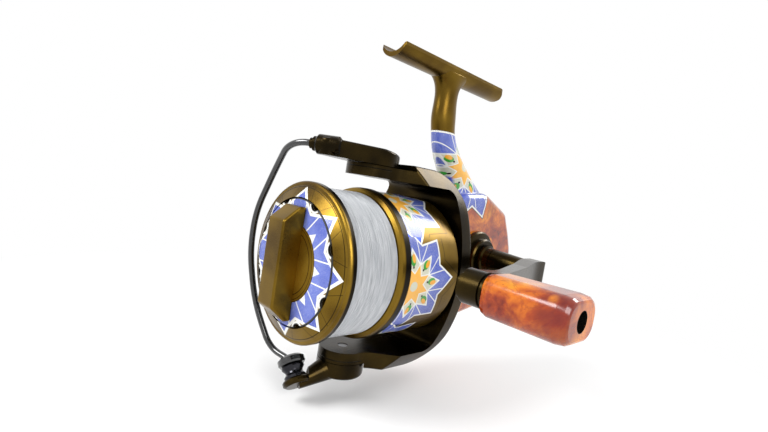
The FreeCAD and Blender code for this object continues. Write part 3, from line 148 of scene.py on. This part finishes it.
class Paint:
    """A material under construction."""

    def __init__(self, name, base, metallic=0.0, roughness=0.4):
        self.material = bpy.data.materials.new(name)
        self.material.use_nodes = True
        self.tree = self.material.node_tree
        self.shader = self.tree.nodes["Principled BSDF"]
        self.colour = base
        self.set("Metallic", metallic)
        self.set("Roughness", roughness)
        texture = self.node("ShaderNodeTexCoord")
        self.coordinates = texture.outputs["Object"]
        self.normal = texture.outputs["Normal"]
        parts = self.node("ShaderNodeSeparateXYZ", {}, {0: self.coordinates}).outputs
        self.x = Value(self, parts[0]) * (1 / MM) - SPOOL_CENTRE.x
        self.y = Value(self, parts[1]) * (1 / MM) - SPOOL_CENTRE.y
        self.z = Value(self, parts[2]) * (1 / MM) - SPOOL_CENTRE.z
        self.height = None

    def node(self, kind, settings=None, sockets=None):
        """Any node: its settings are made first, and then its sockets' values or links."""
        node = self.tree.nodes.new(kind)
        for key, value in (settings or {}).items():
            if key == "stops":
                ramp = node.color_ramp
                while len(ramp.elements) < len(value):
                    ramp.elements.new(1.0)
                for element, (position, colour) in zip(ramp.elements, value):
                    element.position = position
                    element.color = colour
            else:
                setattr(node, key, value)
        for key, value in (sockets or {}).items():
            self.feed(node.inputs[key], value)
        return node

    def feed(self, socket, value):
        if isinstance(value, Value):
            value = value.socket
        if isinstance(value, bpy.types.NodeSocket):
            self.tree.links.new(value, socket)
        else:
            socket.default_value = value

    def set(self, name, value):
        self.feed(self.shader.inputs[name], value)

    def mix(self, mask, under, over):
        """One colour over another where the mask is 1."""
        node = self.node("ShaderNodeMix", {"data_type": "RGBA"}, {0: mask, 6: under, 7: over})
        return node.outputs[2]

    def lay(self, mask, colour):
        """Paints a colour over what is there so far."""
        self.colour = self.mix(mask, self.colour, colour)

    def blend(self, mask, under, over):
        """One number over another where the mask is 1."""
        return mask * (over - under) + under

    def noise(self, scale, detail=3.0, roughness=0.55, stretch=(1, 1, 1), distortion=0.0):
        """Even noise about 0.5, with its scale in cells per metre."""
        vector = self.node("ShaderNodeMapping", {}, {0: self.coordinates, "Scale": stretch}).outputs[0]
        sockets = {"Vector": vector, "Scale": scale, "Detail": detail, "Roughness": roughness,
                   "Distortion": distortion}
        return Value(self, self.node("ShaderNodeTexNoise", {}, sockets).outputs["Fac"])

    def ramp(self, value, stops):
        return self.node("ShaderNodeValToRGB", {"stops": stops}, {0: value}).outputs["Color"]

    def raise_by(self, value):
        self.height = value if self.height is None else self.height + value

    def finish(self, bump=0.15, distance=0.0002):
        self.feed(self.shader.inputs["Base Color"], self.colour)
        if self.height is not None:
            sockets = {"Strength": bump, "Distance": distance, "Height": self.height}
            self.set("Normal", self.node("ShaderNodeBump", {}, sockets).outputs[0])
        return self.material


class Folded:
    """Coordinates for a star: the angle about a centre folded so that one half point holds them all."""

    def __init__(self, across, along, points, first_angle):
        step = 2 * math.pi / points
        self.half = step / 2
        self.radius = distance(across, along)
        angle = along.math("ARCTAN2", across) - (math.radians(first_angle) - self.half)
        turned = angle.math("FLOORED_MODULO", step) - self.half
        self.folded = abs(turned)
        self.tip = self.radius * self.folded.math("COSINE")
        self.side = self.radius * self.folded.math("SINE")
        self.signed_side = self.radius * turned.math("SINE")

    def edge(self, start, end):
        """Distance outside a straight edge between two (radius, degrees from a tip) corners."""
        ax, ay = start[0] * math.cos(math.radians(start[1])), start[0] * math.sin(math.radians(start[1]))
        bx, by = end[0] * math.cos(math.radians(end[1])), end[0] * math.sin(math.radians(end[1]))
        length = math.hypot(bx - ax, by - ay)
        nx, ny = (by - ay) / length, (ax - bx) / length
        return (self.tip - ax) * nx + (self.side - ay) * ny

    def outline(self, size):
        """Distance outside the star with the given radii of its points and notches."""
        return self.edge((size[0], 0), (size[1], math.degrees(self.half)))

    def spot(self, along, aside, stretch):
        """Distance from a place beside every point's middle line, shorter across by stretch."""
        ahead = self.tip - along
        across = (self.signed_side - aside) * stretch
        return distance(ahead, across)

    def notch_line(self):
        """Distance from the line halfway between two tips."""
        return self.radius * (self.half - self.folded).math("SINE")


# Finishes

GOLD = srgb(156, 125, 42)
GOLD_DARK = srgb(86, 64, 16)
PLATE_GOLD = srgb(202, 168, 66)
BRONZE = srgb(76, 60, 22)
BRONZE_DARK = srgb(26, 20, 8)
GROUT = srgb(222, 222, 216)
TILE_BLUE = srgb(60, 78, 166)
TILE_PALE_BLUE = srgb(104, 120, 194)
OFF_WHITE = srgb(196, 196, 176)
TILE_ORANGE = srgb(226, 158, 46)
TILE_PALE_ORANGE = srgb(238, 184, 84)
TILE_GREEN = srgb(56, 148, 54)
INK = srgb(18, 16, 12)
ENGRAVED = srgb(42, 32, 12)


def metal_grain(paint, base, dark, roughness, grain_scale=900.0):
    """Satin metal: a cloudy tone, a fine grain and slightly uneven gloss."""
    cloud = paint.noise(60.0, 2.0)
    grain = paint.noise(grain_scale * 4, 2.0)
    tone = (cloud - 0.35) * 1.4 + (grain - 0.5) * 0.3
    paint.colour = paint.mix(tone.clamped(), dark, base)
    paint.set("Roughness", (grain - 0.5) * 0.12 + (cloud - 0.5) * 0.10 + roughness)
    paint.raise_by(grain * 0.25)


def metal(name, base, dark, metallic=0.95, roughness=0.3):
    paint = Paint(name, base, metallic, roughness)
    metal_grain(paint, base, dark, roughness)
    return paint


def blue_tiles(paint, star, field, darkening):
    """Blue glaze, paler towards the star's middle, with fine white curls in it."""
    deep = darkening + (paint.noise(260.0) - 0.5) * 1.2
    paint.lay(field, paint.mix(deep.clamped(), TILE_PALE_BLUE, TILE_BLUE))
    curls = paint.noise(420.0, 1.0, 0.5, distortion=2.4)
    hair = abs((curls * 10.0).math("FRACT") - 0.5) - 0.455
    paint.lay(hair.math("GREATER_THAN", 0.0) * 0.4 & field, GROUT)


def star_layers(paint, star, size, edge, mask):
    """The painted star of tiles: blue field, off-white kites with leaves, an orange star in the middle."""
    paint.lay(edge.inside() & mask, GROUT)
    field = (edge + 0.7).inside() & mask
    blue_tiles(paint, star, field, star.radius * (1 / 14.0) - 0.4)
    # From each notch between two kites, two seams spread to both sides of the outer notch
    kite_notch = (7.9, math.degrees(star.half))
    seam_end = (size[1] * 0.6 + size[0] * 0.41, math.degrees(star.half) * 0.52)
    paint.lay(star.edge(kite_notch, seam_end).line(0.19) & field, GROUT)
    kites = star.edge((KITE_TIP_R, 0), (8.6, 17.5))
    paint.lay((kites - 0.3).inside() & mask, GROUT)
    paint.lay((kites + 0.25).inside() & mask, OFF_WHITE)
    leaf = star.spot(9.3, 0.35, 1.5) - 1.95
    paint.lay(leaf.inside() & mask, TILE_GREEN)
    heart = star.spot(10.0, -0.15, 1.9) - 1.6
    paint.lay(heart.inside(0.3) & mask, TILE_ORANGE)
    bud = star.spot(7.0, 0.45, 1.2) - 0.5
    paint.lay(bud.inside() & mask, INK)
    middle = star.edge((4.6, 0), (8.2, math.degrees(star.half)))
    paint.lay((middle - 0.3).inside() & mask, GROUT)
    orange = paint.mix(paint.noise(400.0), TILE_ORANGE, TILE_PALE_ORANGE)
    paint.lay((middle + 0.1).inside() & mask, orange)
    paint.lay((star.radius - 1.8).inside() & mask, OFF_WHITE)


def spool_paint():
    """Gold, with the stars round the skirt and the big star on the front flange."""
    paint = metal("spool_finish", GOLD, GOLD_DARK, roughness=0.3)
    radius = distance(paint.x, paint.z)
    # Painted reflection: the lip and the ring behind the line are painted dark bronze towards their rear
    # edges, standing for dark surroundings reflected on their rear slopes
    rims = (abs(paint.y - 25.6) - 1.7).inside(0.6) | (abs(paint.y - 2.2) - 1.2).inside(0.6)
    paint.lay(rims & (24.0 - radius).inside() & (radius - 28.8).inside(), BRONZE_DARK)
    skirt = (RING_REAR_Y + 0.15 - paint.y).inside() & (27.0 - radius).inside()
    step = 2 * math.pi / 5
    turned_by = math.radians(-5.0)
    around = paint.z.math("ARCTAN2", paint.x)
    within = (around - turned_by + step / 2).math("FLOORED_MODULO", step) - step / 2
    arc = within * SKIRT_R
    forward = paint.y - 30.0
    # The neighbours' blue reaches over the half-way line, so it is laid first
    for side in (-1, 1):
        neighbour = Folded(forward, arc + side * step * SKIRT_R, 8, 8.0).outline(SKIRT_STAR)
        paint.lay(neighbour.inside() & skirt, GROUT)
        paint.lay((neighbour + 0.7).inside() & skirt, TILE_BLUE)
    star = Folded(forward, arc, 8, 8.0)
    tiles = star.outline(SKIRT_STAR)
    star_layers(paint, star, SKIRT_STAR, tiles, skirt)
    groove = star.outline((SKIRT_STAR[0] + 3.7, SKIRT_STAR[1] + 3.2)).line(0.11)
    paint.lay(groove & skirt & (0.6 - tiles).inside(), ENGRAVED)
    face = (paint.y + 0.2).inside(0.1) & (radius - 26.9).inside()
    face_edge = face_tiles(paint, face)
    engrave_front(paint, radius, (0.15 - face_edge).inside() & face)
    painted = (skirt & tiles.inside()) | (face & face_edge.inside())
    paint.set("Metallic", paint.blend(painted, 0.92, 0.0))
    paint.set("Coat Weight", painted * 0.25)
    return paint.finish()


def face_tiles(paint, mask):
    """The blue and white star that runs over the knob and the spool's front; returns its edge."""
    star = Folded(paint.x, paint.z, 8, 0.0)
    edge = star.outline(FACE_STAR)
    paint.lay(edge.inside() & mask, GROUT)
    notch_along = star.tip * math.cos(star.half) + star.side * math.sin(star.half)
    field = (edge + 1.0).inside() & mask
    blue_tiles(paint, star, field, star.radius * (1 / 9.0) - 1.5)
    seam = star.notch_line() - (notch_along - CENTRE_PLATE_R) * 0.38 - 1.5
    paint.lay(seam.line(0.25) & field, GROUT)
    spike = star.side - (16.6 - star.tip) * 0.55
    paint.lay(spike.inside() & field, GROUT)
    return edge


def engrave_front(paint, radius, blank):
    """Thin cut lines on the spool's dished front, between the points of the star."""
    star = Folded(paint.x, paint.z, 8, 22.5)
    vee = star.side - (star.tip - 20.0) * 0.8 - 1.4
    paint.lay(vee.line(0.10) & blank, ENGRAVED)
    paint.lay((radius - 25.9).line(0.12) & blank, ENGRAVED)


def knob_paint():
    """Gold with the star's inner ring, and a white scallop round each notch of the rim."""
    paint = metal("knob_finish", GOLD, GOLD_DARK, roughness=0.36)
    radius = distance(paint.x, paint.z)
    face = (paint.y + 1.9).inside(0.2) & (CENTRE_PLATE_R + 0.1 - radius).inside()
    face_tiles(paint, face)
    star = Folded(paint.x, paint.z, 8, 22.5)
    paint.lay((star.spot(KNOB_R + 0.9, 0.0, 1.0) - 3.1).inside() & face, GROUT)
    paint.lay((star.spot(KNOB_R + 0.9, 0.0, 1.0) - 2.45).inside() & face, INK)
    paint.lay((radius - KNOB_R + 0.2).line(0.22) & face, INK)
    paint.set("Metallic", paint.blend(face, 0.92, 0.0))
    paint.set("Coat Weight", face * 0.25)
    return paint.finish()


def knob_plate_paint():
    """Fine round brushing inside a smooth rim that two cut rings mark off."""
    paint = Paint("knob_plate_finish", GOLD, 0.92, 0.3)
    metal_grain(paint, PLATE_GOLD, GOLD, 0.3)
    radius = distance(paint.x, paint.z)
    inner = (radius - 11.0).inside()
    pebbles = paint.noise(2600.0, 1.0)
    paint.raise_by((pebbles - 0.5) * 2.2 * inner)
    paint.lay((radius - 11.0).line(0.14) | (radius - 12.6).line(0.10), ENGRAVED)
    return paint.finish(0.35)


def tortoiseshell(paint):
    """Amber with dark red clouds and veins, and paler round spots in darker rims."""
    cloud = paint.noise(80.0, 5.0, 0.6, distortion=0.5)
    stops = [(0.30, srgb(90, 16, 4)), (0.42, srgb(150, 56, 6)), (0.54, srgb(200, 106, 12)),
             (0.70, srgb(224, 150, 30))]
    amber = paint.ramp(cloud, stops)
    cells = paint.node("ShaderNodeTexVoronoi", {}, {"Vector": paint.coordinates, "Scale": 170.0})
    centre = Value(paint, cells.outputs["Distance"])
    patch = (0.50 - paint.noise(70.0, 1.0)).inside(0.12)
    amber = paint.mix((centre - 0.34).inside(0.10) * patch * 0.6, amber, srgb(142, 42, 8))
    amber = paint.mix((centre - 0.27).inside(0.12) * patch * 0.8, amber, srgb(234, 142, 38))
    veins = abs(paint.noise(75.0, 5.0, 0.7, distortion=1.2) - 0.5) - 0.008
    amber = paint.mix(veins.inside(0.05) * 0.6, amber, srgb(104, 22, 10))
    smoke = (paint.noise(42.0, 3.0, 0.6, distortion=0.6) - 0.50) * 7.0
    return paint.mix(smoke.clamped() * 0.75, amber, srgb(104, 20, 14))


def body_paint():
    """Gold foot and stem, the tiled leg, and the amber body round the star's points."""
    paint = metal("body_finish", GOLD, GOLD_DARK, roughness=0.3)
    painted = (paint.z - LEG_TOP_Z).inside()
    star = Folded(paint.y - LEG_STAR_CENTRE[0], paint.z - LEG_STAR_CENTRE[1], 8, 28.0)
    # Above the star's upper kites the blue fills the leg up to its top border
    edge = star.outline(LEG_STAR) & (LEG_STAR_CENTRE[1] + 6.0 - paint.z)
    paint.lay(painted, tortoiseshell(paint))
    paint.lay((edge - 0.35).inside() & painted, INK)
    star_layers(paint, star, LEG_STAR, edge, painted)
    # Across the body's top the side's pattern would be drawn out into stripes, so it is plain blue there
    facing = paint.node("ShaderNodeSeparateXYZ", {}, {0: paint.normal}).outputs[0]
    level = (abs(Value(paint, facing)) - 0.6).inside(0.2) & (paint.z - 39.0).inside(1.0)
    paint.lay(level & edge.inside() & painted, TILE_BLUE)
    paint.lay((paint.z - LEG_TOP_Z + 0.35).line(0.35) & painted, GROUT)
    paint.set("Metallic", paint.blend(painted, 0.92, 0.0))
    paint.set("Roughness", paint.blend(painted, 0.3, 0.2))
    paint.set("Coat Weight", painted * 0.8)
    return paint.finish()


def grip_paint():
    """Polished amber resin, a little uneven under its clear coat."""
    paint = Paint("amber_resin", srgb(214, 112, 40), 0.0, 0.2)
    paint.colour = tortoiseshell(paint)
    # Painted shade: inside the hole in the grip's end the resin is painted black, standing for the shade
    # in the bore
    hole = distance(paint.y - GRIP_AXIS[0], paint.z - GRIP_AXIS[1]) - GRIP_HOLE_R
    paint.lay((hole - 0.05).inside(), INK)
    paint.set("Coat Weight", 0.4)
    paint.set("Coat Roughness", 0.10)
    paint.set("Specular IOR Level", 0.3)
    paint.raise_by(paint.noise(120.0, 2.0) * 0.6)
    return paint.finish(0.10, 0.0004)


def rotor_paint():
    """Bronze with a parting line round each pivot's boss."""
    paint = metal("rotor_bronze", BRONZE, BRONZE_DARK, roughness=0.25)
    reach = distance(paint.x, paint.y - PIVOT_Y)
    seam = (abs(paint.z) - 36.2).line(0.14) & (reach - 9.6).inside()
    paint.lay(seam, INK)
    paint.raise_by(seam * -1.5)
    return paint.finish(0.4)


def line_paint():
    """Pale braid: fine slanting fibres and a soft sheen."""
    paint = Paint("line_braid", srgb(206, 208, 210), 0.0, 0.42)
    around = paint.z.math("ARCTAN2", paint.x)
    fibre = (around * 240.0 + paint.y * 26.0).math("SINE")
    cloud = paint.noise(140.0, 3.0, stretch=(1, 6, 1))
    tone = fibre * 0.16 + (cloud - 0.5) * 1.1 + 0.5
    paint.colour = paint.mix(tone.clamped(), srgb(140, 144, 150), srgb(206, 208, 210))
    paint.raise_by(fibre * 0.4)
    return paint.finish(0.3, 0.0001)


def plain_metal(name, colour, dark, roughness=0.3, metallic=0.95):
    return metal(name, colour, dark, metallic, roughness).finish()


def gloss_black():
    paint = Paint("black_enamel", srgb(16, 16, 17), 0.0, 0.16)
    dust = paint.noise(700.0, 2.0)
    paint.colour = paint.mix(dust * 0.5, srgb(10, 10, 11), srgb(30, 30, 32))
    paint.set("Roughness", dust * 0.1 + 0.12)
    paint.set("Coat Weight", 0.8)
    return paint.finish()


def dark_plastic():
    paint = Paint("dark_plastic", srgb(28, 28, 28), 0.0, 0.5)
    speck = paint.noise(1500.0, 2.0)
    paint.colour = paint.mix(speck, srgb(20, 20, 20), srgb(42, 42, 42))
    paint.raise_by(speck)
    return paint.finish(0.2)


body_finish = body_paint()
bronze = metal("bronze", BRONZE, BRONZE_DARK, roughness=0.24).finish()
gold = metal("gold", GOLD, GOLD_DARK, roughness=0.3).finish()
rotor_bronze = rotor_paint()
steel = plain_metal("steel", srgb(176, 176, 176), srgb(120, 120, 122))
brass = plain_metal("brass", srgb(196, 160, 84), srgb(140, 108, 48))
alloy = plain_metal("cast_alloy", srgb(150, 150, 148), srgb(104, 104, 104), 0.5)
dark_chrome = plain_metal("dark_chrome", srgb(84, 84, 88), srgb(40, 40, 44), 0.16)
black_enamel = gloss_black()
plastic = dark_plastic()
braid = line_paint()

FINISHES = {
    "body_housing": body_finish, "side_cover": body_finish, "spool": spool_paint(),
    "drag_knob_disc": knob_paint(), "drag_knob_bar": gold, "drag_knob_plate": knob_plate_paint(),
    "rotor": rotor_bronze, "bail_arm_upper": bronze, "bail_arm_lower": bronze, "wire_collar": bronze,
    "bail_wire": black_enamel, "line_roller": dark_chrome, "handle_grip": grip_paint(),
    "handle_arm": bronze, "handle_shank": bronze, "drive_bearing_cap": bronze, "handle_screw_cap": bronze,
    "rotor_nut": brass, "pinion_gear": brass, "worm_gear": brass, "worm_bush": brass,
    "drive_gear": alloy, "slider_block": alloy, "line_core": braid, "line_winding": braid,
    "clutch_retainer": plastic, "roller_bush": plastic, "drag_washers": plastic, "click_ratchet": plastic,
    "spool_shim": plastic, "grip_bushes": plastic,
}
for name, node in nodes.items():
    node.data.materials.clear()
    node.data.materials.append(FINISHES.get(name, steel))


# The wound line

def new_mesh(name, bm, material, body, smooth=True):
    bmesh.ops.recalc_face_normals(bm, faces=bm.faces)
    mesh = bpy.data.meshes.new(name)
    for face in bm.faces:
        face.smooth = smooth
    bm.to_mesh(mesh)
    bm.free()
    piece = bpy.data.objects.new(name, mesh)
    bpy.context.scene.collection.objects.link(piece)
    mesh.materials.append(material)
    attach(piece, body)
    return piece


def strand_layer(bm, radius, thickness, start_y, end_y, turns, steps_per_turn, sides=5):
    """One strand wound between two places along the spool's axis."""
    axis_point = place(0, start_y, 0)
    ring = bmesh.ops.create_circle(bm, segments=sides, radius=thickness / 2 * MM)["verts"]
    bmesh.ops.translate(bm, verts=ring, vec=place(radius, start_y, 0))
    edges = list({edge for vert in ring for edge in vert.link_edges})
    steps = int(turns * steps_per_turn)
    climb = Vector((0, (end_y - start_y) * MM / steps, 0))
    bmesh.ops.spin(bm, geom=ring + edges, cent=axis_point, axis=(0, 1, 0), dvec=climb,
                   angle=-2 * math.pi * turns, steps=steps, use_merge=False)


def wound_line():
    bm = bmesh.new()
    profile = [(LINE_R - 1.5, LIP_DEPTH + 0.05), (LINE_R + 0.05, LIP_DEPTH + 0.05), (LINE_R + 0.1, 12.0),
               (LINE_R + 0.05, RING_FRONT_Y - 0.05), (LINE_R - 1.5, RING_FRONT_Y - 0.05)]
    verts = [bm.verts.new(place(r, y, 0)) for r, y in profile]
    edges = [bm.edges.new((verts[i], verts[i + 1])) for i in range(len(verts) - 1)]
    edges.append(bm.edges.new((verts[-1], verts[0])))
    bmesh.ops.spin(bm, geom=verts + edges, cent=place(0, 0, 0), axis=(0, 1, 0), dvec=(0, 0, 0),
                   angle=2 * math.pi, steps=96, use_merge=True)
    first = LIP_DEPTH + 0.25
    last = RING_FRONT_Y - 0.25
    strand_layer(bm, LINE_R + 0.18, 0.34, first, last, 52, 64)
    strand_layer(bm, LINE_R + 0.34, 0.26, last, first, 5, 64)
    strand_layer(bm, LINE_R + 0.34, 0.26, first, last, 6, 64)
    piece = new_mesh("wound_line", bm, braid, "spool")
    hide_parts("line_core", "line_winding")
    return piece


wound_line()


# Floor, light and camera

def white_where_seen(tree, lit, white, mask=None):
    """A shader that is plain white to the camera, in a gloss and through glass, where the mask is 1."""
    rays = tree.nodes.new("ShaderNodeLightPath")
    seen = rays.outputs["Is Camera Ray"]
    for other in ("Is Glossy Ray", "Is Transmission Ray"):
        either = tree.nodes.new("ShaderNodeMath")
        either.operation = "MAXIMUM"
        tree.links.new(seen, either.inputs[0])
        tree.links.new(rays.outputs[other], either.inputs[1])
        seen = either.outputs[0]
    if mask is not None:
        both = tree.nodes.new("ShaderNodeMath")
        both.operation = "MULTIPLY"
        tree.links.new(seen, both.inputs[0])
        tree.links.new(mask, both.inputs[1])
        seen = both.outputs[0]
    mix = tree.nodes.new("ShaderNodeMixShader")
    tree.links.new(seen, mix.inputs[0])
    tree.links.new(lit, mix.inputs[1])
    tree.links.new(white, mix.inputs[2])
    return mix.outputs[0]


def stage_floor():
    """A pale floor that keeps the object's shadow and fades into the white background."""
    bm = bmesh.new()
    bmesh.ops.create_grid(bm, x_segments=1, y_segments=1, size=6.0)
    bmesh.ops.translate(bm, verts=bm.verts, vec=(0, 0, cad_low.z - 0.004))
    mesh = bpy.data.meshes.new("floor")
    bm.to_mesh(mesh)
    bm.free()
    floor = bpy.data.objects.new("floor", mesh)
    bpy.context.scene.collection.objects.link(floor)
    material = bpy.data.materials.new("floor_white")
    material.use_nodes = True
    tree = material.node_tree
    shader = tree.nodes["Principled BSDF"]
    shader.inputs["Base Color"].default_value = (0.93, 0.93, 0.93, 1)
    shader.inputs["Roughness"].default_value = 0.9
    shader.inputs["Specular IOR Level"].default_value = 0.1
    place_node = tree.nodes.new("ShaderNodeTexCoord")
    length = tree.nodes.new("ShaderNodeVectorMath")
    length.operation = "LENGTH"
    tree.links.new(place_node.outputs["Object"], length.inputs[0])
    fade = tree.nodes.new("ShaderNodeMapRange")
    fade.inputs["From Min"].default_value = 0.13
    fade.inputs["From Max"].default_value = 0.30
    tree.links.new(length.outputs["Value"], fade.inputs["Value"])
    white = tree.nodes.new("ShaderNodeEmission")
    surface = white_where_seen(tree, shader.outputs[0], white.outputs[0], fade.outputs["Result"])
    tree.links.new(surface, tree.nodes["Material Output"].inputs["Surface"])
    mesh.materials.append(material)


def soft_world():
    """Soft light all round, with a white background where it is seen."""
    world = bpy.data.worlds.new("studio")
    bpy.context.scene.world = world
    world.use_nodes = True
    tree = world.node_tree
    light = tree.nodes["Background"]
    light.inputs["Color"].default_value = (1, 1, 1, 1)
    light.inputs["Strength"].default_value = 0.36
    white = tree.nodes.new("ShaderNodeBackground")
    white.inputs["Color"].default_value = (1, 1, 1, 1)
    surface = white_where_seen(tree, light.outputs[0], white.outputs[0])
    tree.links.new(surface, tree.nodes["World Output"].inputs["Surface"])


def soft_lamp(name, position, target, size, power):
    data = bpy.data.lights.new(name, "AREA")
    data.shape = "DISK"
    data.size = size
    data.energy = power
    lamp = bpy.data.objects.new(name, data)
    lamp.location = position
    lamp.rotation_mode = "QUATERNION"
    lamp.rotation_quaternion = (Vector(target) - Vector(position)).to_track_quat("-Z", "Y")
    bpy.context.scene.collection.objects.link(lamp)


def photo_camera():
    """The camera at the photograph's place, turn and roll."""
    azimuth, elevation, roll = (math.radians(v) for v in (45.22, 3.72, 9.2))
    back = Vector((math.sin(azimuth) * math.cos(elevation), -math.cos(azimuth) * math.cos(elevation),
                   math.sin(elevation)))
    right = Vector((math.cos(azimuth), math.sin(azimuth), 0))
    up = back.cross(right)
    turned_right = right * math.cos(roll) + up * math.sin(roll)
    turned_up = up * math.cos(roll) - right * math.sin(roll)
    data = bpy.data.cameras.new("camera")
    data.sensor_width = 36.0
    data.lens = 21.26
    data.clip_start = 0.01
    camera = bpy.data.objects.new("camera", data)
    camera.rotation_mode = "QUATERNION"
    camera.rotation_quaternion = Matrix((turned_right, turned_up, back)).transposed().to_quaternion()
    camera.location = place(128.1, -89.5, 30.3)
    bpy.context.scene.collection.objects.link(camera)
    bpy.context.scene.camera = camera


stage_floor()
soft_world()
MIDDLE = place(0, 45, 20)
LAMPS = [("key", (-0.25, -0.75, 0.45), 0.45, 8.0),
         ("side", (0.8, -0.35, 0.35), 0.5, 5.5),
         ("rim", (0.2, 0.7, 0.5), 0.4, 4.5)]
for name, position, size, power in LAMPS:
    soft_lamp(name, position, MIDDLE, size, power)
photo_camera()
bpy.context.scene.view_settings.view_transform = "Standard"
